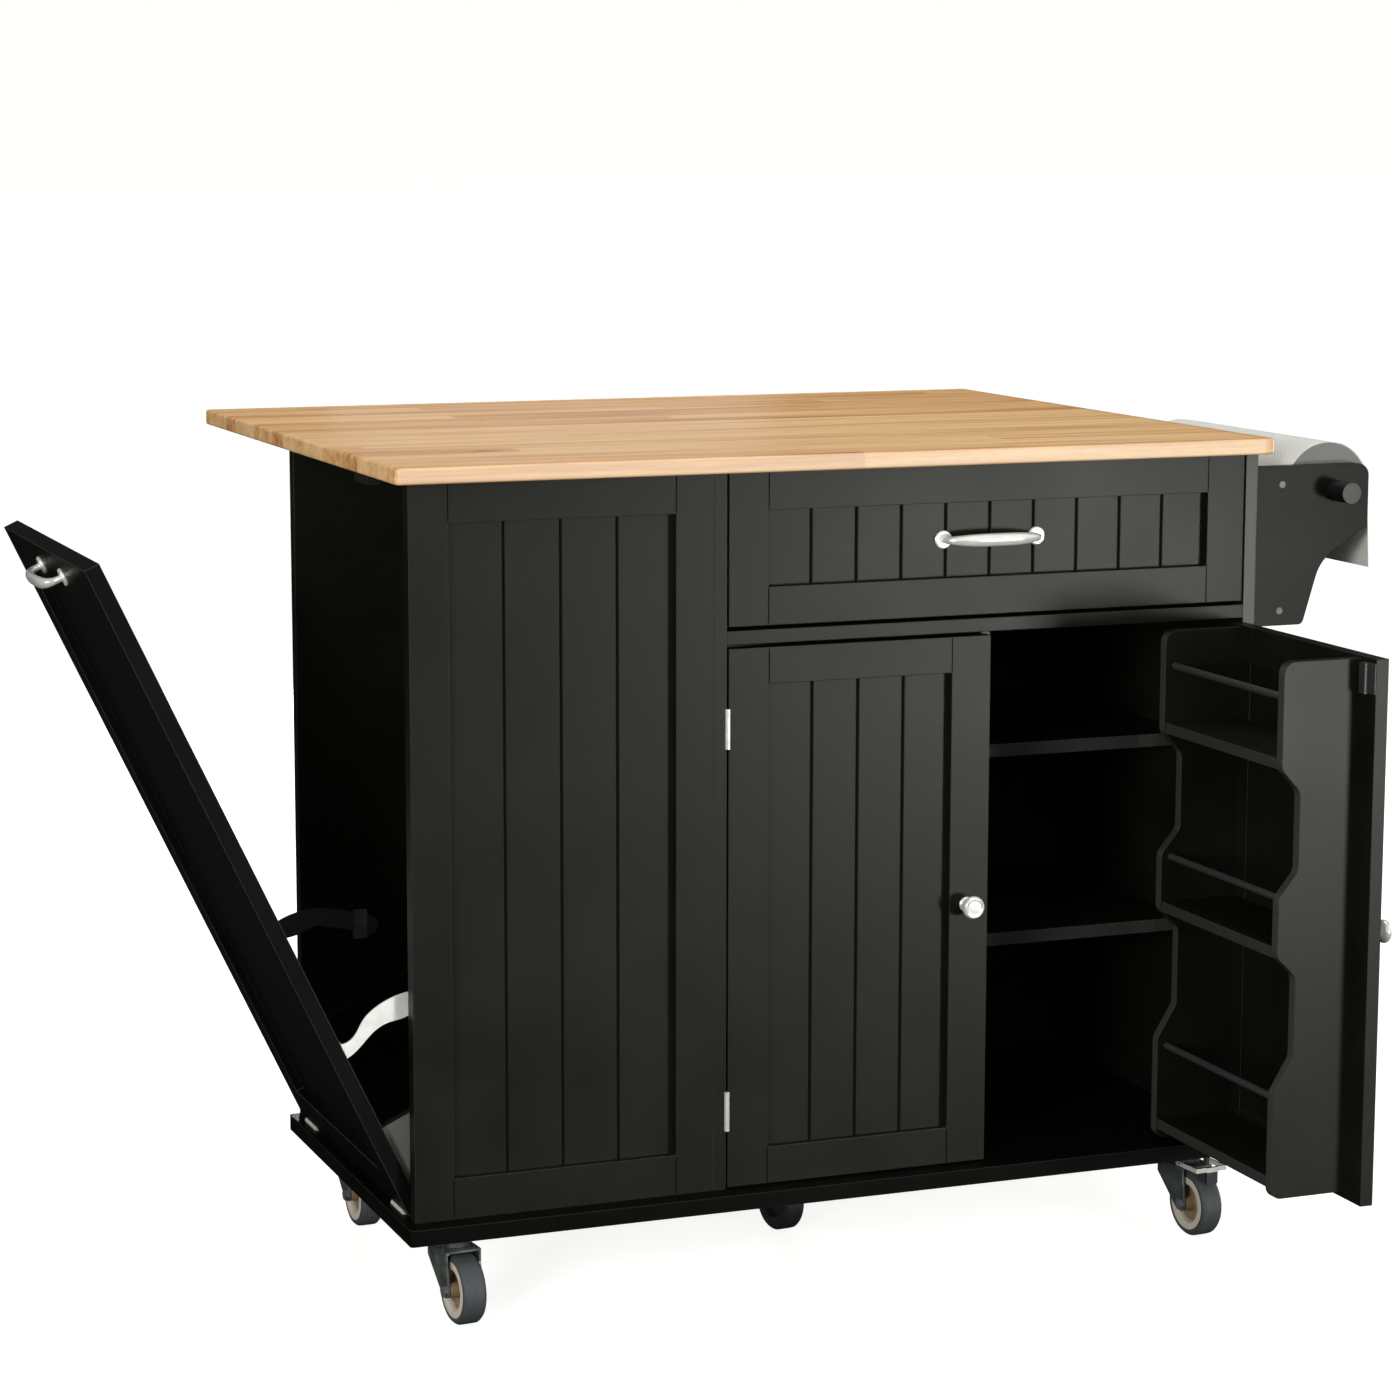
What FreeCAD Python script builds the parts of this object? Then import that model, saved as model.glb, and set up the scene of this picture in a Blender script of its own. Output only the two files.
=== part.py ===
import FreeCAD, Part
import math
import os
import Sketcher

# A kitchen cart at its real size, in millimetres: +X to the right, +Y to the back, +Z up.
# It is drawn with the base board's front left corner at X 0, Y 0 and the floor at Z 0, and every finished
# node is then moved so that the origin lies on the floor under the middle of the whole cart.
# At rest the bin door is tilted open on its stays, the right door stands open and the drop leaf is raised.

doc = FreeCAD.newDocument("KitchenCart")
sheet = doc.addObject("Spreadsheet::Sheet", "Sizes")
Vector = FreeCAD.Vector


class Size:
    """A length, an angle or a share: its number now, and the expression that follows the sheet."""

    def __init__(self, number, text):
        self.number = number
        self.text = text

    def __add__(self, other):
        other = as_size(other)
        return Size(self.number + other.number, f"({self.text} + {other.text})")

    def __sub__(self, other):
        other = as_size(other)
        return Size(self.number - other.number, f"({self.text} - {other.text})")

    def __mul__(self, other):
        other = as_size(other)
        return Size(self.number * other.number, f"({self.text} * {other.text})")

    def __truediv__(self, other):
        other = as_size(other)
        return Size(self.number / other.number, f"({self.text} / {other.text})")

    def __neg__(self):
        return Size(-self.number, f"(-{self.text})")

    __radd__ = __add__
    __rmul__ = __mul__


def as_size(value):
    return value if isinstance(value, Size) else Size(float(value), repr(float(value)))


def cosine(angle):
    return Size(math.cos(math.radians(angle.number)), f"cos({angle.text})")


def sine(angle):
    return Size(math.sin(math.radians(angle.number)), f"sin({angle.text})")


def root(value):
    return Size(math.sqrt(value.number), f"sqrt({value.text})")


ZERO = as_size(0)
sheet_row = [0]


def size(alias, number, note):
    """Writes one driving dimension into the sheet, under its alias, and returns it."""
    sheet_row[0] += 1
    row = sheet_row[0]
    sheet.set(f"A{row}", alias)
    sheet.set(f"B{row}", str(number))
    sheet.set(f"C{row}", note)
    sheet.setAlias(f"B{row}", alias)
    return Size(float(number), f"Sizes.{alias}")


# Helpers that make one document object each and bind its sizes to the sheet

def bind(thing, prop, value):
    thing.setExpression(prop, as_size(value).text)


def move_to(thing, x, y, z):
    bind(thing, "Placement.Base.x", x)
    bind(thing, "Placement.Base.y", y)
    bind(thing, "Placement.Base.z", z)


def block(name, x, y, z):
    """A box from the low to the high of each of the pairs x, y and z."""
    box = doc.addObject("Part::Box", name)
    bind(box, "Length", x[1] - x[0])
    bind(box, "Width", y[1] - y[0])
    bind(box, "Height", z[1] - z[0])
    move_to(box, x[0], y[0], z[0])
    return box


TURN_TO = {"x": ((0, 1, 0), 90), "y": ((1, 0, 0), -90), "z": ((0, 0, 1), 0)}


def peg(name, along, start, radius, long):
    """A cylinder of that radius from the point start, long in the direction of one axis."""
    cylinder = doc.addObject("Part::Cylinder", name)
    axis, angle = TURN_TO[along]
    cylinder.Placement = FreeCAD.Placement(Vector(), FreeCAD.Rotation(Vector(*axis), angle))
    bind(cylinder, "Radius", radius)
    bind(cylinder, "Height", long)
    move_to(cylinder, *start)
    return cylinder


def cone(name, along, start, radius, end_radius, long):
    """A cone, like peg, from one radius to another."""
    solid = doc.addObject("Part::Cone", name)
    axis, angle = TURN_TO[along]
    solid.Placement = FreeCAD.Placement(Vector(), FreeCAD.Rotation(Vector(*axis), angle))
    bind(solid, "Radius1", radius)
    bind(solid, "Radius2", end_radius)
    bind(solid, "Height", long)
    move_to(solid, *start)
    return solid


def join(name, *pieces):
    fused = doc.addObject("Part::MultiFuse", name)
    fused.Shapes = list(pieces)
    return fused


def cut(name, base, *tools):
    result = doc.addObject("Part::Cut", name)
    result.Base = base
    result.Tool = tools[0] if len(tools) == 1 else join(name + "_tools", *tools)
    return result


def group(name, pieces):
    """Separate solids under one name."""
    compound = doc.addObject("Part::Compound", name)
    compound.Links = list(pieces)
    return compound


def turned(name, pieces, axis, angle, pivot):
    """The pieces together, turned about an axis through the pivot by the right-hand rule."""
    compound = group(name, pieces)
    angle = as_size(angle)
    px, py, pz = pivot
    c, s = cosine(angle), sine(angle)
    if axis == "y":
        direction = Vector(0, 1, 0)
        base = (px - (px * c + pz * s), ZERO, pz - (pz * c - px * s))
    elif axis == "z":
        direction = Vector(0, 0, 1)
        base = (px - (px * c - py * s), py - (px * s + py * c), ZERO)
    else:
        direction = Vector(1, 0, 0)
        base = (ZERO, py - (py * c - pz * s), pz - (py * s + pz * c))
    compound.Placement = FreeCAD.Placement(Vector(), FreeCAD.Rotation(direction, 10))
    bind(compound, "Placement.Rotation.Angle", angle)
    move_to(compound, *base)
    return compound


def moved(name, pieces, x, y, z):
    compound = group(name, pieces)
    move_to(compound, x, y, z)
    return compound


def sketch_in(body, name, role):
    """An empty sketch on one of the body's own origin planes."""
    sketch = body.newObject("Sketcher::SketchObject", name)
    plane = [f for f in body.Origin.OriginFeatures if f.Role == role][0]
    sketch.AttachmentSupport = (plane, [""])
    sketch.MapMode = "FlatFace"
    return sketch


def draw(sketch, points):
    """A closed outline of straight lines through the points, each held by two bound dimensions."""
    first = sketch.GeometryCount
    count = len(points)
    for i, (u, v) in enumerate(points):
        next_u, next_v = points[(i + 1) % count]
        start = Vector(u.number, v.number, 0)
        end = Vector(next_u.number, next_v.number, 0)
        sketch.addGeometry(Part.LineSegment(start, end), False)
    for i in range(count):
        after = first + (i + 1) % count
        sketch.addConstraint(Sketcher.Constraint("Coincident", first + i, 2, after, 1))
    for i, (u, v) in enumerate(points):
        for kind, value in (("DistanceX", u), ("DistanceY", v)):
            rule = Sketcher.Constraint(kind, -1, 1, first + i, 1, value.number)
            sketch.setExpression(f"Constraints[{sketch.addConstraint(rule)}]", value.text)


def slab(name, role, points, thick, rounds=()):
    """A body: the outline padded to the thickness, with the corners in rounds, (point, radius), filleted.

    The pad of a sketch on the XZ plane runs towards -Y, so it is reversed to run towards +Y.
    """
    body = doc.addObject("PartDesign::Body", name)
    sketch = sketch_in(body, name + "_outline", role)
    draw(sketch, [(as_size(u), as_size(v)) for u, v in points])
    pad = body.newObject("PartDesign::Pad", name + "_pad")
    pad.Profile = sketch
    pad.Reversed = role == "XZ_Plane"
    bind(pad, "Length", thick)
    doc.recompute()
    last = pad
    for i, (corner, radius) in enumerate(rounds):
        last = round_corner(body, last, f"{name}_round_{i}", role, corner, radius)
    return body


FLAT_AXES = {"XY_Plane": (0, 1), "XZ_Plane": (0, 2), "YZ_Plane": (1, 2)}


def round_corner(body, base, name, role, corner, radius):
    """Fillets the edge that stands on the sketch plane at a corner of the outline."""
    u, v = FLAT_AXES[role]
    near = (as_size(corner[0]).number, as_size(corner[1]).number)
    names = []
    for i, edge in enumerate(base.Shape.Edges):
        ends = [(vertex.Point[u], vertex.Point[v]) for vertex in edge.Vertexes]
        if len(ends) == 2 and all(math.dist(end, near) < 1e-4 for end in ends):
            names.append(f"Edge{i + 1}")
    fillet = body.newObject("PartDesign::Fillet", name)
    fillet.Base = (base, names)
    bind(fillet, "Radius", radius)
    doc.recompute()
    return fillet


def soften(body, base, name, radius, wanted):
    """Fillets every edge of the body that the function wanted picks by its centre and its box."""
    names = [f"Edge{i + 1}" for i, edge in enumerate(base.Shape.Edges) if wanted(edge)]
    fillet = body.newObject("PartDesign::Fillet", name)
    fillet.Base = (base, names)
    bind(fillet, "Radius", radius)
    doc.recompute()
    return fillet


def lathe(name, points):
    """A body of revolution about Z: the points are (radius, height)."""
    body = doc.addObject("PartDesign::Body", name)
    sketch = sketch_in(body, name + "_half", "XZ_Plane")
    draw(sketch, [(as_size(u), as_size(v)) for u, v in points])
    spin = body.newObject("PartDesign::Revolution", name + "_spin")
    spin.Profile = sketch
    spin.ReferenceAxis = (sketch, ["V_Axis"])
    spin.Angle = 360
    doc.recompute()
    return body


nodes = []


def node(label, *pieces):
    """A finished node: its solids under the name of its file."""
    finished = group("node_" + label, pieces)
    finished.Label = label
    nodes.append(finished)


def screw(name, along, head, long, into=1):
    """A countersunk screw with its flat head at a face; into is +1 or -1 along the axis."""
    radius = screw_head_wide / 2
    deep = screw_head_deep
    step = {"x": (1, 0, 0), "y": (0, 1, 0), "z": (0, 0, 1)}[along]
    top = cone(name + "_head", along, head, radius, screw_wide / 2, deep)
    if into < 0:
        head_low = [place - deep * unit for place, unit in zip(head, step)]
        top = cone(name + "_head_low", along, head_low, screw_wide / 2, radius, deep)
        start = [place - long * unit for place, unit in zip(head, step)]
    else:
        start = list(head)
    return join(name, top, peg(name + "_shank", along, start, screw_wide / 2, long))


# Base board, casters' height and the worktop

cart_tall = size("cart_tall", 930, "floor to the worktop's top")
caster_tall = size("caster_tall", 97, "floor to the base board")
base_thick = size("base_thick", 18, "base board")
base_long = size("base_long", 1031, "base board, left to right")
base_deep = size("base_deep", 500, "base board, front to back")
base_corner = size("base_corner", 4, "rounded corners of the base board")
top_thick = size("top_thick", 18, "worktop and leaf")
top_corner = size("top_corner", 8, "plan corners of the worktop")
top_edge = size("top_edge", 3, "rounding along the worktop's edges")
top_past_left = size("top_past_left", 11, "worktop past the base board's left end")
top_short_right = size("top_short_right", 11.5, "worktop short of the base board's right end")
top_past_front = size("top_past_front", 12.5, "worktop past the base board's front")
top_past_back = size("top_past_back", 12, "worktop past the base board's back")
leaf_gap = size("leaf_gap", 1, "between the fixed worktop and the raised leaf")
leaf_deep = size("leaf_deep", 298, "drop leaf, front to back")

low = caster_tall + base_thick
high = cart_tall - top_thick
top_left = -top_past_left
top_right = base_long - top_short_right
top_back = base_deep + top_past_back
leaf_front = top_back + leaf_gap
leaf_back = leaf_front + leaf_deep


def board_with_round_edges(name, x, y, z, corners, square_side):
    """A board lying flat, its corners rounded in plan and its long edges softened but on one side."""
    points = [(x[0], y[0]), (x[1], y[0]), (x[1], y[1]), (x[0], y[1])]
    body = slab(name, "XY_Plane", points, z[1] - z[0], [(c, top_corner) for c in corners])
    straight = y[1].number if square_side == "back" else y[0].number

    def wanted(edge):
        box = edge.BoundBox
        level = box.ZLength < 1e-4
        on_joint = abs(box.YMin - straight) < 1e-4 and abs(box.YMax - straight) < 1e-4
        return level and not on_joint

    soften(body, body.Tip, name + "_edges", top_edge, wanted)
    return moved(name + "_placed", [body], ZERO, ZERO, z[0])


base_points = [(ZERO, ZERO), (base_long, ZERO), (base_long, base_deep), (ZERO, base_deep)]
base_plank = slab("base_plank", "XY_Plane", base_points, base_thick, [(p, base_corner) for p in base_points])
base_plank = moved("base_plank_placed", [base_plank], ZERO, ZERO, caster_tall)

fixed_top = board_with_round_edges(
    "fixed_top", (top_left, top_right), (-top_past_front, top_back), (high, cart_tall),
    [(top_left, -top_past_front), (top_right, -top_past_front)], "back")
leaf_top = board_with_round_edges(
    "leaf_top", (top_left, top_right), (leaf_front, leaf_back), (high, cart_tall),
    [(top_left, leaf_back), (top_right, leaf_back)], "front")
node("worktop", fixed_top)

# Screws that show

screw_wide = size("screw_wide", 4, "screw shank")
screw_head_wide = size("screw_head_wide", 8, "screw head")
screw_head_deep = size("screw_head_deep", 2.4, "countersunk head")
screw_long = size("screw_long", 30, "panel screws")

# Cabinet panels

front_in = size("front_in", 26, "cabinet front behind the base board's front edge")
left_in = size("left_in", 13, "front and back panels in from the base board's left end")
right_in = size("right_in", 12.5, "right side panel in from the base board's right end")
side_thick = size("side_thick", 15, "right side panel and divider")
back_thick = size("back_thick", 17, "back panel")
bay_front_wide = size("bay_front_wide", 342, "fixed front panel of the bin bay")
bay_front_thick = size("bay_front_thick", 18, "its frame's thickness")
rail_high = size("rail_high", 737.5, "top of the rail under the drawer")
rail_thick = size("rail_thick", 15, "rail under the drawer")
rail_deep = size("rail_deep", 80, "rail under the drawer, front to back")

side_outside = base_long - right_in
side_inside = side_outside - side_thick
divider_left = left_in + bay_front_wide
divider_right = divider_left + side_thick
back_inside = base_deep - back_thick
rail_low = rail_high - rail_thick

# Hinges: two leaves lie in the gap between a door's edge and what carries it, and the barrel is let into both

hinge_gap = size("hinge_gap", 2.5, "between a hinged edge and its frame")
hinge_leaf_thick = size("hinge_leaf_thick", 1, "hinge leaf")
hinge_leaf_deep = size("hinge_leaf_deep", 13, "hinge leaf, from the pin's axis inwards")
hinge_barrel = size("hinge_barrel", 3, "radius of the hinge barrel")
hinge_pin = size("hinge_pin", 1.5, "radius of the hinge pin")
hinge_long = size("hinge_long", 44, "hinge, along its pin")
hinge_slack = size("hinge_slack", 0.3, "between knuckles, and round the barrel in the wood")
pin_fit = size("pin_fit", 0.06, "radial clearance of pins and axles")
HINGE_KNUCKLES = 5


def butt_hinge(name, side):
    """The fixed and the moving half of a butt hinge, its pin along +Z from the origin.

    The wood that carries it lies towards -side on X, the door towards +side, and both leaves run to +Y.
    """
    half = hinge_gap / 2
    pitch = hinge_long / HINGE_KNUCKLES

    def leaf(part, toward):
        inner, outer = half - hinge_leaf_thick, half
        x = (inner, outer) if toward > 0 else (-outer, -inner)
        leaf_y = (hinge_barrel + hinge_slack, hinge_leaf_deep)
        return block(f"{name}_{part}_leaf", x, leaf_y, (ZERO, hinge_long))

    halves = []
    for part, toward, wanted in (("fixed", -side, 0), ("moving", side, 1)):
        pieces = [leaf(part, toward)]
        for i in range(wanted, HINGE_KNUCKLES, 2):
            start = pitch * i + (hinge_slack / 2 if i > 0 else ZERO)
            end = pitch * (i + 1) - (hinge_slack / 2 if i < HINGE_KNUCKLES - 1 else ZERO)
            barrel = peg(f"{name}_{part}_barrel_{i}", "z", (ZERO, ZERO, start), hinge_barrel, end - start)
            inner, outer = half - hinge_leaf_thick, half
            x = (inner, outer) if toward > 0 else (-outer, -inner)
            web = block(f"{name}_{part}_web_{i}", x, (ZERO, hinge_barrel + hinge_slack), (start, end))
            pieces += [barrel, web]
        plate = join(f"{name}_{part}_plate", *pieces)
        if part == "fixed":
            pin = peg(f"{name}_pin", "z", (ZERO, ZERO, ZERO), hinge_pin, hinge_long)
            halves.append(join(f"{name}_fixed", plate, pin))
        else:
            bore = peg(f"{name}_bore", "z", (ZERO, ZERO, ZERO), hinge_pin + pin_fit, hinge_long)
            halves.append(cut(f"{name}_moving", plate, bore))
    return halves


def barrel_room(name):
    """The round slot that a hinge barrel is let into, along +Z from the origin."""
    tall = hinge_long + hinge_slack * 2
    return peg(name, "z", (ZERO, ZERO, -hinge_slack), hinge_barrel + hinge_slack, tall)


# A front: two stiles that run the full height, two rails between them and a thinner panel in their groove

groove_wide = size("groove_wide", 4, "V groove between two boards of a panel")
panel_in_groove = size("panel_in_groove", 6, "how far a panel sits in its frame")
panel_behind = size("panel_behind", 10, "panel's face behind the frame's face")


def frame_and_panel(name, wide, tall, thick, stile, top_rail, low_rail, panel_thick, boards, room=()):
    """Frame members and panel of a front that stands on X and Z, its face at Y 0 towards -Y."""
    panel_y = (panel_behind, panel_behind + panel_thick)
    panel_x = (stile - panel_in_groove, wide - stile + panel_in_groove)
    panel_z = (low_rail - panel_in_groove, tall - top_rail + panel_in_groove)
    members = {
        "left_stile": ((ZERO, stile), (ZERO, tall)),
        "right_stile": ((wide - stile, wide), (ZERO, tall)),
        "low_rail": ((stile, wide - stile), (ZERO, low_rail)),
        "top_rail": ((stile, wide - stile), (tall - top_rail, tall)),
    }
    frame = []
    for part, (x, z) in members.items():
        solid = block(f"{name}_{part}_blank", x, (ZERO, thick), z)
        groove = block(f"{name}_{part}_groove", panel_x, panel_y, panel_z)
        tools = [groove]
        for i, (owner, make) in enumerate(room):
            if owner == part:
                tools.append(make(f"{name}_{part}_room_{i}"))
        frame.append(cut(f"{name}_{part}", solid, *tools))
    panel = block(f"{name}_panel_blank", panel_x, panel_y, panel_z)
    if boards > 1:
        board = (wide - stile * 2) / boards
        side = groove_wide / math.sqrt(2)
        tools = []
        for i in range(1, boards):
            prism = doc.addObject("Part::Box", f"{name}_vee_{i}")
            prism.Placement = FreeCAD.Placement(Vector(), FreeCAD.Rotation(Vector(0, 0, 1), 45))
            bind(prism, "Length", side)
            bind(prism, "Width", side)
            bind(prism, "Height", panel_z[1] - panel_z[0])
            move_to(prism, stile + board * i, panel_behind - groove_wide / 2, panel_z[0])
            tools.append(prism)
        panel = cut(f"{name}_panel_boards", panel, *tools)
    return frame, panel


# Fixed front panel of the bin bay

bay_stile = size("bay_stile", 43.5, "stiles of the fixed front panel")
bay_rail = size("bay_rail", 45, "top rail of the fixed front panel")
bay_low_rail = size("bay_low_rail", 45, "low rail of the fixed front panel")
bay_panel_thick = size("bay_panel_thick", 6, "its boarded panel")
BAY_BOARDS = 4
bay_frame, bay_panel = frame_and_panel(
    "bay", bay_front_wide, high - low, bay_front_thick, bay_stile, bay_rail, bay_low_rail, bay_panel_thick,
    BAY_BOARDS)
node("bin_front_frame", *[moved("bay_member_placed", [m], left_in, front_in, low) for m in bay_frame])
node("bin_front_panel", moved("bay_panel_placed", [bay_panel], left_in, front_in, low))

# Shelves on pins

shelf_thick = size("shelf_thick", 15, "shelves")
upper_shelf = size("upper_shelf", 572, "top of the upper shelf")
lower_shelf = size("lower_shelf", 349, "top of the lower shelf")
shelf_front = size("shelf_front", 145, "shelf's front edge behind the base board's front, clear of the closed rack")
shelf_slack = size("shelf_slack", 0.5, "shelf to the panels beside and behind it")
pin_wide = size("pin_wide", 5, "shelf pin")
pin_long = size("pin_long", 18, "shelf pin")
pin_in_panel = size("pin_in_panel", 9, "shelf pin inside the panel")
pin_loose = size("pin_loose", 0.1, "radial room of a shelf pin in its hole")
pin_from_edge = size("pin_from_edge", 40, "shelf pins from the shelf's front and back")

pins = []
pin_holes = {"divider": [], "side": []}
shelves = []
for level, top in (("upper", upper_shelf), ("lower", lower_shelf)):
    x = (divider_right + shelf_slack, side_inside - shelf_slack)
    y = (shelf_front, back_inside - shelf_slack)
    shelves.append(block(f"{level}_shelf", x, y, (top - shelf_thick, top)))
    for row, place in (("front", y[0] + pin_from_edge), ("back", y[1] - pin_from_edge)):
        z = top - shelf_thick - pin_wide / 2
        for owner, face in (("divider", divider_right), ("side", side_inside)):
            inward = owner == "divider"
            name = f"{level}_{row}_{owner}_pin"
            start = face - pin_in_panel if inward else face - (pin_long - pin_in_panel)
            pins.append(peg(name, "x", (start, place, z), pin_wide / 2, pin_long))
            hole_start = face - pin_in_panel if inward else face
            hole = peg(name + "_hole", "x", (hole_start, place, z), pin_wide / 2 + pin_loose, pin_in_panel)
            pin_holes[owner].append(hole)
node("shelves", *shelves)
node("shelf_pins", *pins)

# Doors: both inset, hinged at the outer edges, faces in the cabinet's front plane

door_low_gap = size("door_low_gap", 2, "door above the base board")
door_high = size("door_high", 718, "top of the doors")
door_thick = size("door_thick", 15, "door frames")
door_stile = size("door_stile", 47, "door stiles")
door_top_rail = size("door_top_rail", 40, "door top rail")
door_low_rail = size("door_low_rail", 41.5, "door low rail")
door_panel_thick = size("door_panel_thick", 4, "boarded panel of a door or drawer")
door_mid_gap = size("door_mid_gap", 2.5, "between the two doors")
door_open = size("door_open", 90, "right door at rest, degrees open")
upper_hinge = size("upper_hinge", 608.5, "bottom end of the upper door hinges")
lower_hinge = size("lower_hinge", 181.5, "bottom end of the lower door hinges")
DOOR_BOARDS = 4

door_low = low + door_low_gap
door_tall = door_high - door_low
bay_inside = side_inside - divider_right
door_wide = (bay_inside - hinge_gap * 2 - door_mid_gap) / 2
left_axis = (divider_right + hinge_gap / 2, front_in)
right_axis = (side_inside - hinge_gap / 2, front_in)

fixed_leaves = []
moving_leaves = {"left": [], "right": []}
panel_rooms = {"left": [], "right": []}
for side, axis, toward in (("left", left_axis, 1), ("right", right_axis, -1)):
    for level, z in (("upper", upper_hinge), ("lower", lower_hinge)):
        name = f"{side}_{level}_hinge"
        fixed, moving = butt_hinge(name, toward)
        fixed_leaves.append(moved(name + "_fixed_placed", [fixed], *axis, z))
        moving_leaves[side].append(moved(name + "_moving_placed", [moving], *axis, z))
        room = barrel_room(name + "_panel_room")
        panel_rooms[side].append(moved(name + "_panel_room_placed", [room], *axis, z))


def door_rooms(side):
    """The barrel slots of a door, in the door's own corner frame."""
    x = -hinge_gap / 2 if side == "left" else door_wide + hinge_gap / 2
    owner = "left_stile" if side == "left" else "right_stile"
    rooms = []
    for z in (upper_hinge, lower_hinge):
        rooms.append((owner, lambda name, z=z: moved(
            name + "_placed", [barrel_room(name)], x, ZERO, z - door_low)))
    return rooms


# Knob: a turned stem and head that stands out towards -Y

knob_wide = size("knob_wide", 27, "knob head")
knob_stem = size("knob_stem", 9, "knob stem, across")
knob_foot = size("knob_foot", 13, "knob foot, across")
knob_out = size("knob_out", 24, "knob, face to door")
knob_head = size("knob_head", 9, "knob head, thickness")
knob_foot_thick = size("knob_foot_thick", 2.5, "knob foot, thickness")
knob_round = size("knob_round", 3, "knob head's rounding")
knob_in = size("knob_in", 26.5, "knob from the door's free edge")
knob_high = size("knob_high", 415, "knob above the floor")


def knob(name):
    """A knob whose foot is on Y 0 at the origin."""
    points = [
        (ZERO, ZERO), (knob_foot / 2, ZERO), (knob_foot / 2, knob_foot_thick), (knob_stem / 2, knob_foot_thick * 2),
        (knob_stem / 2, knob_out - knob_head), (knob_wide / 2, knob_out - knob_head / 2 - knob_round / 2),
        (knob_wide / 2, knob_out - knob_round), (knob_wide / 2 - knob_round, knob_out), (ZERO, knob_out),
    ]
    return turned(name, [lathe(name + "_turned", points)], "x", 90, (ZERO, ZERO, ZERO))


# Strike plates on the doors and magnetic catches on the cabinet

strike_wide = size("strike_wide", 12, "strike plate, across")
strike_tall = size("strike_tall", 33, "strike plate, along")
strike_thick = size("strike_thick", 1.2, "strike plate")
strike_edge = size("strike_edge", 0.5, "a door's strike plate from its free edge")
buffer_thick = size("buffer_thick", 8, "buffer block on a door's strike plate")
strike_in = size("strike_in", 10, "buffer block from the door's free edge")
strike_down = size("strike_down", 5, "strike plate below the door's top")
catch_deep = size("catch_deep", 15, "magnetic catch, front to back")
catch_wide = size("catch_wide", 11, "magnetic catch of both doors, across")
catch_tall = size("catch_tall", 24, "magnetic catch, below what it hangs from")
catch_gap = size("catch_gap", 0.3, "catch to strike plate")


def door_parts(side):
    """Frame, panel and knob of one door, closed, in the cart's frame."""
    frame, panel = frame_and_panel(
        side + "_door", door_wide, door_tall, door_thick, door_stile, door_top_rail, door_low_rail,
        door_panel_thick, DOOR_BOARDS, door_rooms(side))
    x = left_axis[0] + hinge_gap / 2 if side == "left" else right_axis[0] - hinge_gap / 2 - door_wide
    knob_x = x + door_wide - knob_in if side == "left" else x + knob_in
    strike_x = x + door_wide - strike_in - strike_wide if side == "left" else x + strike_in
    frame = [moved(f"{side}_door_member_{i}_placed", [member], x, front_in, door_low)
             for i, member in enumerate(frame)]
    panel = moved(f"{side}_door_panel_placed", [panel], x, front_in, door_low)
    door_knob = moved(f"{side}_knob_placed", [knob(side + "_knob")], knob_x, front_in, knob_high)
    inner = front_in + door_thick
    strike_z = (door_high - strike_down - strike_tall, door_high - strike_down)
    free_x = x + door_wide - strike_edge if side == "left" else x + strike_edge
    ends = (strike_x, free_x) if side == "left" else (free_x, strike_x + strike_wide)
    plate = block(side + "_strike_plate", ends, (inner, inner + strike_thick), strike_z)
    across_edge = (strike_x, strike_x + strike_wide)
    buffer = block(side + "_buffer", across_edge, (inner, inner + buffer_thick), strike_z)
    return frame, panel, door_knob, join(side + "_strike", plate, buffer)


left_frame, left_panel, left_knob, left_strike = door_parts("left")
node("left_door_frame", *left_frame)
node("left_door_panel", left_panel)
node("left_door_knob", left_knob)
node("left_door_fittings", *moving_leaves["left"], left_strike)

# Spice rack on the right door's inner face

rack_thick = size("rack_thick", 12, "rack side boards and shelves")
rack_from_hinge = size("rack_from_hinge", 12, "rack from the hinge axis")
rack_wide = size("rack_wide", 274, "rack, over its side boards")
rack_deep = size("rack_deep", 95, "rack side boards where they stand out")
rack_waist = size("rack_waist", 72, "rack side boards where they are drawn in")
rack_low = size("rack_low", 127, "bottom of the side boards")
rack_high = size("rack_high", 716, "top of the side boards")
rack_top_round = size("rack_top_round", 14, "rounding of the top corner")
rack_low_round = size("rack_low_round", 12, "rounding of the bottom corner")
rack_curve = size("rack_curve", 14, "rounding where a lobe meets a waist")
top_lobe_low = size("top_lobe_low", 600, "bottom of the top lobe")
waist_2_high = size("waist_2_high", 575, "top of the upper waist")
waist_2_low = size("waist_2_low", 488, "bottom of the upper waist")
middle_lobe_high = size("middle_lobe_high", 460, "top of the middle lobe")
middle_lobe_low = size("middle_lobe_low", 395, "bottom of the middle lobe")
waist_1_high = size("waist_1_high", 373, "top of the lower waist")
waist_1_low = size("waist_1_low", 283, "bottom of the lower waist")
low_lobe_high = size("low_lobe_high", 245, "top of the lowest lobe")
rack_rod = size("rack_rod", 8, "rack rods, across")
rack_rod_in = size("rack_rod_in", 12, "rods behind the lobes' front edge")
top_rod = size("top_rod", 675, "top rod above the floor")
middle_rod = size("middle_rod", 456, "middle rod above the floor")
low_rod = size("low_rod", 235, "low rod above the floor")
top_rack_shelf = size("top_rack_shelf", 611, "top of the rack's top shelf")
middle_rack_shelf = size("middle_rack_shelf", 405, "top of the rack's middle shelf")
low_rack_shelf = size("low_rack_shelf", 150, "top of the rack's low shelf")
rack_shelf_in = size("rack_shelf_in", 1.5, "rack shelves behind the lobes' front edge")
rod_in_board = size("rod_in_board", 8, "rods inside the side boards")

door_inside = front_in + door_thick


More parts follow.
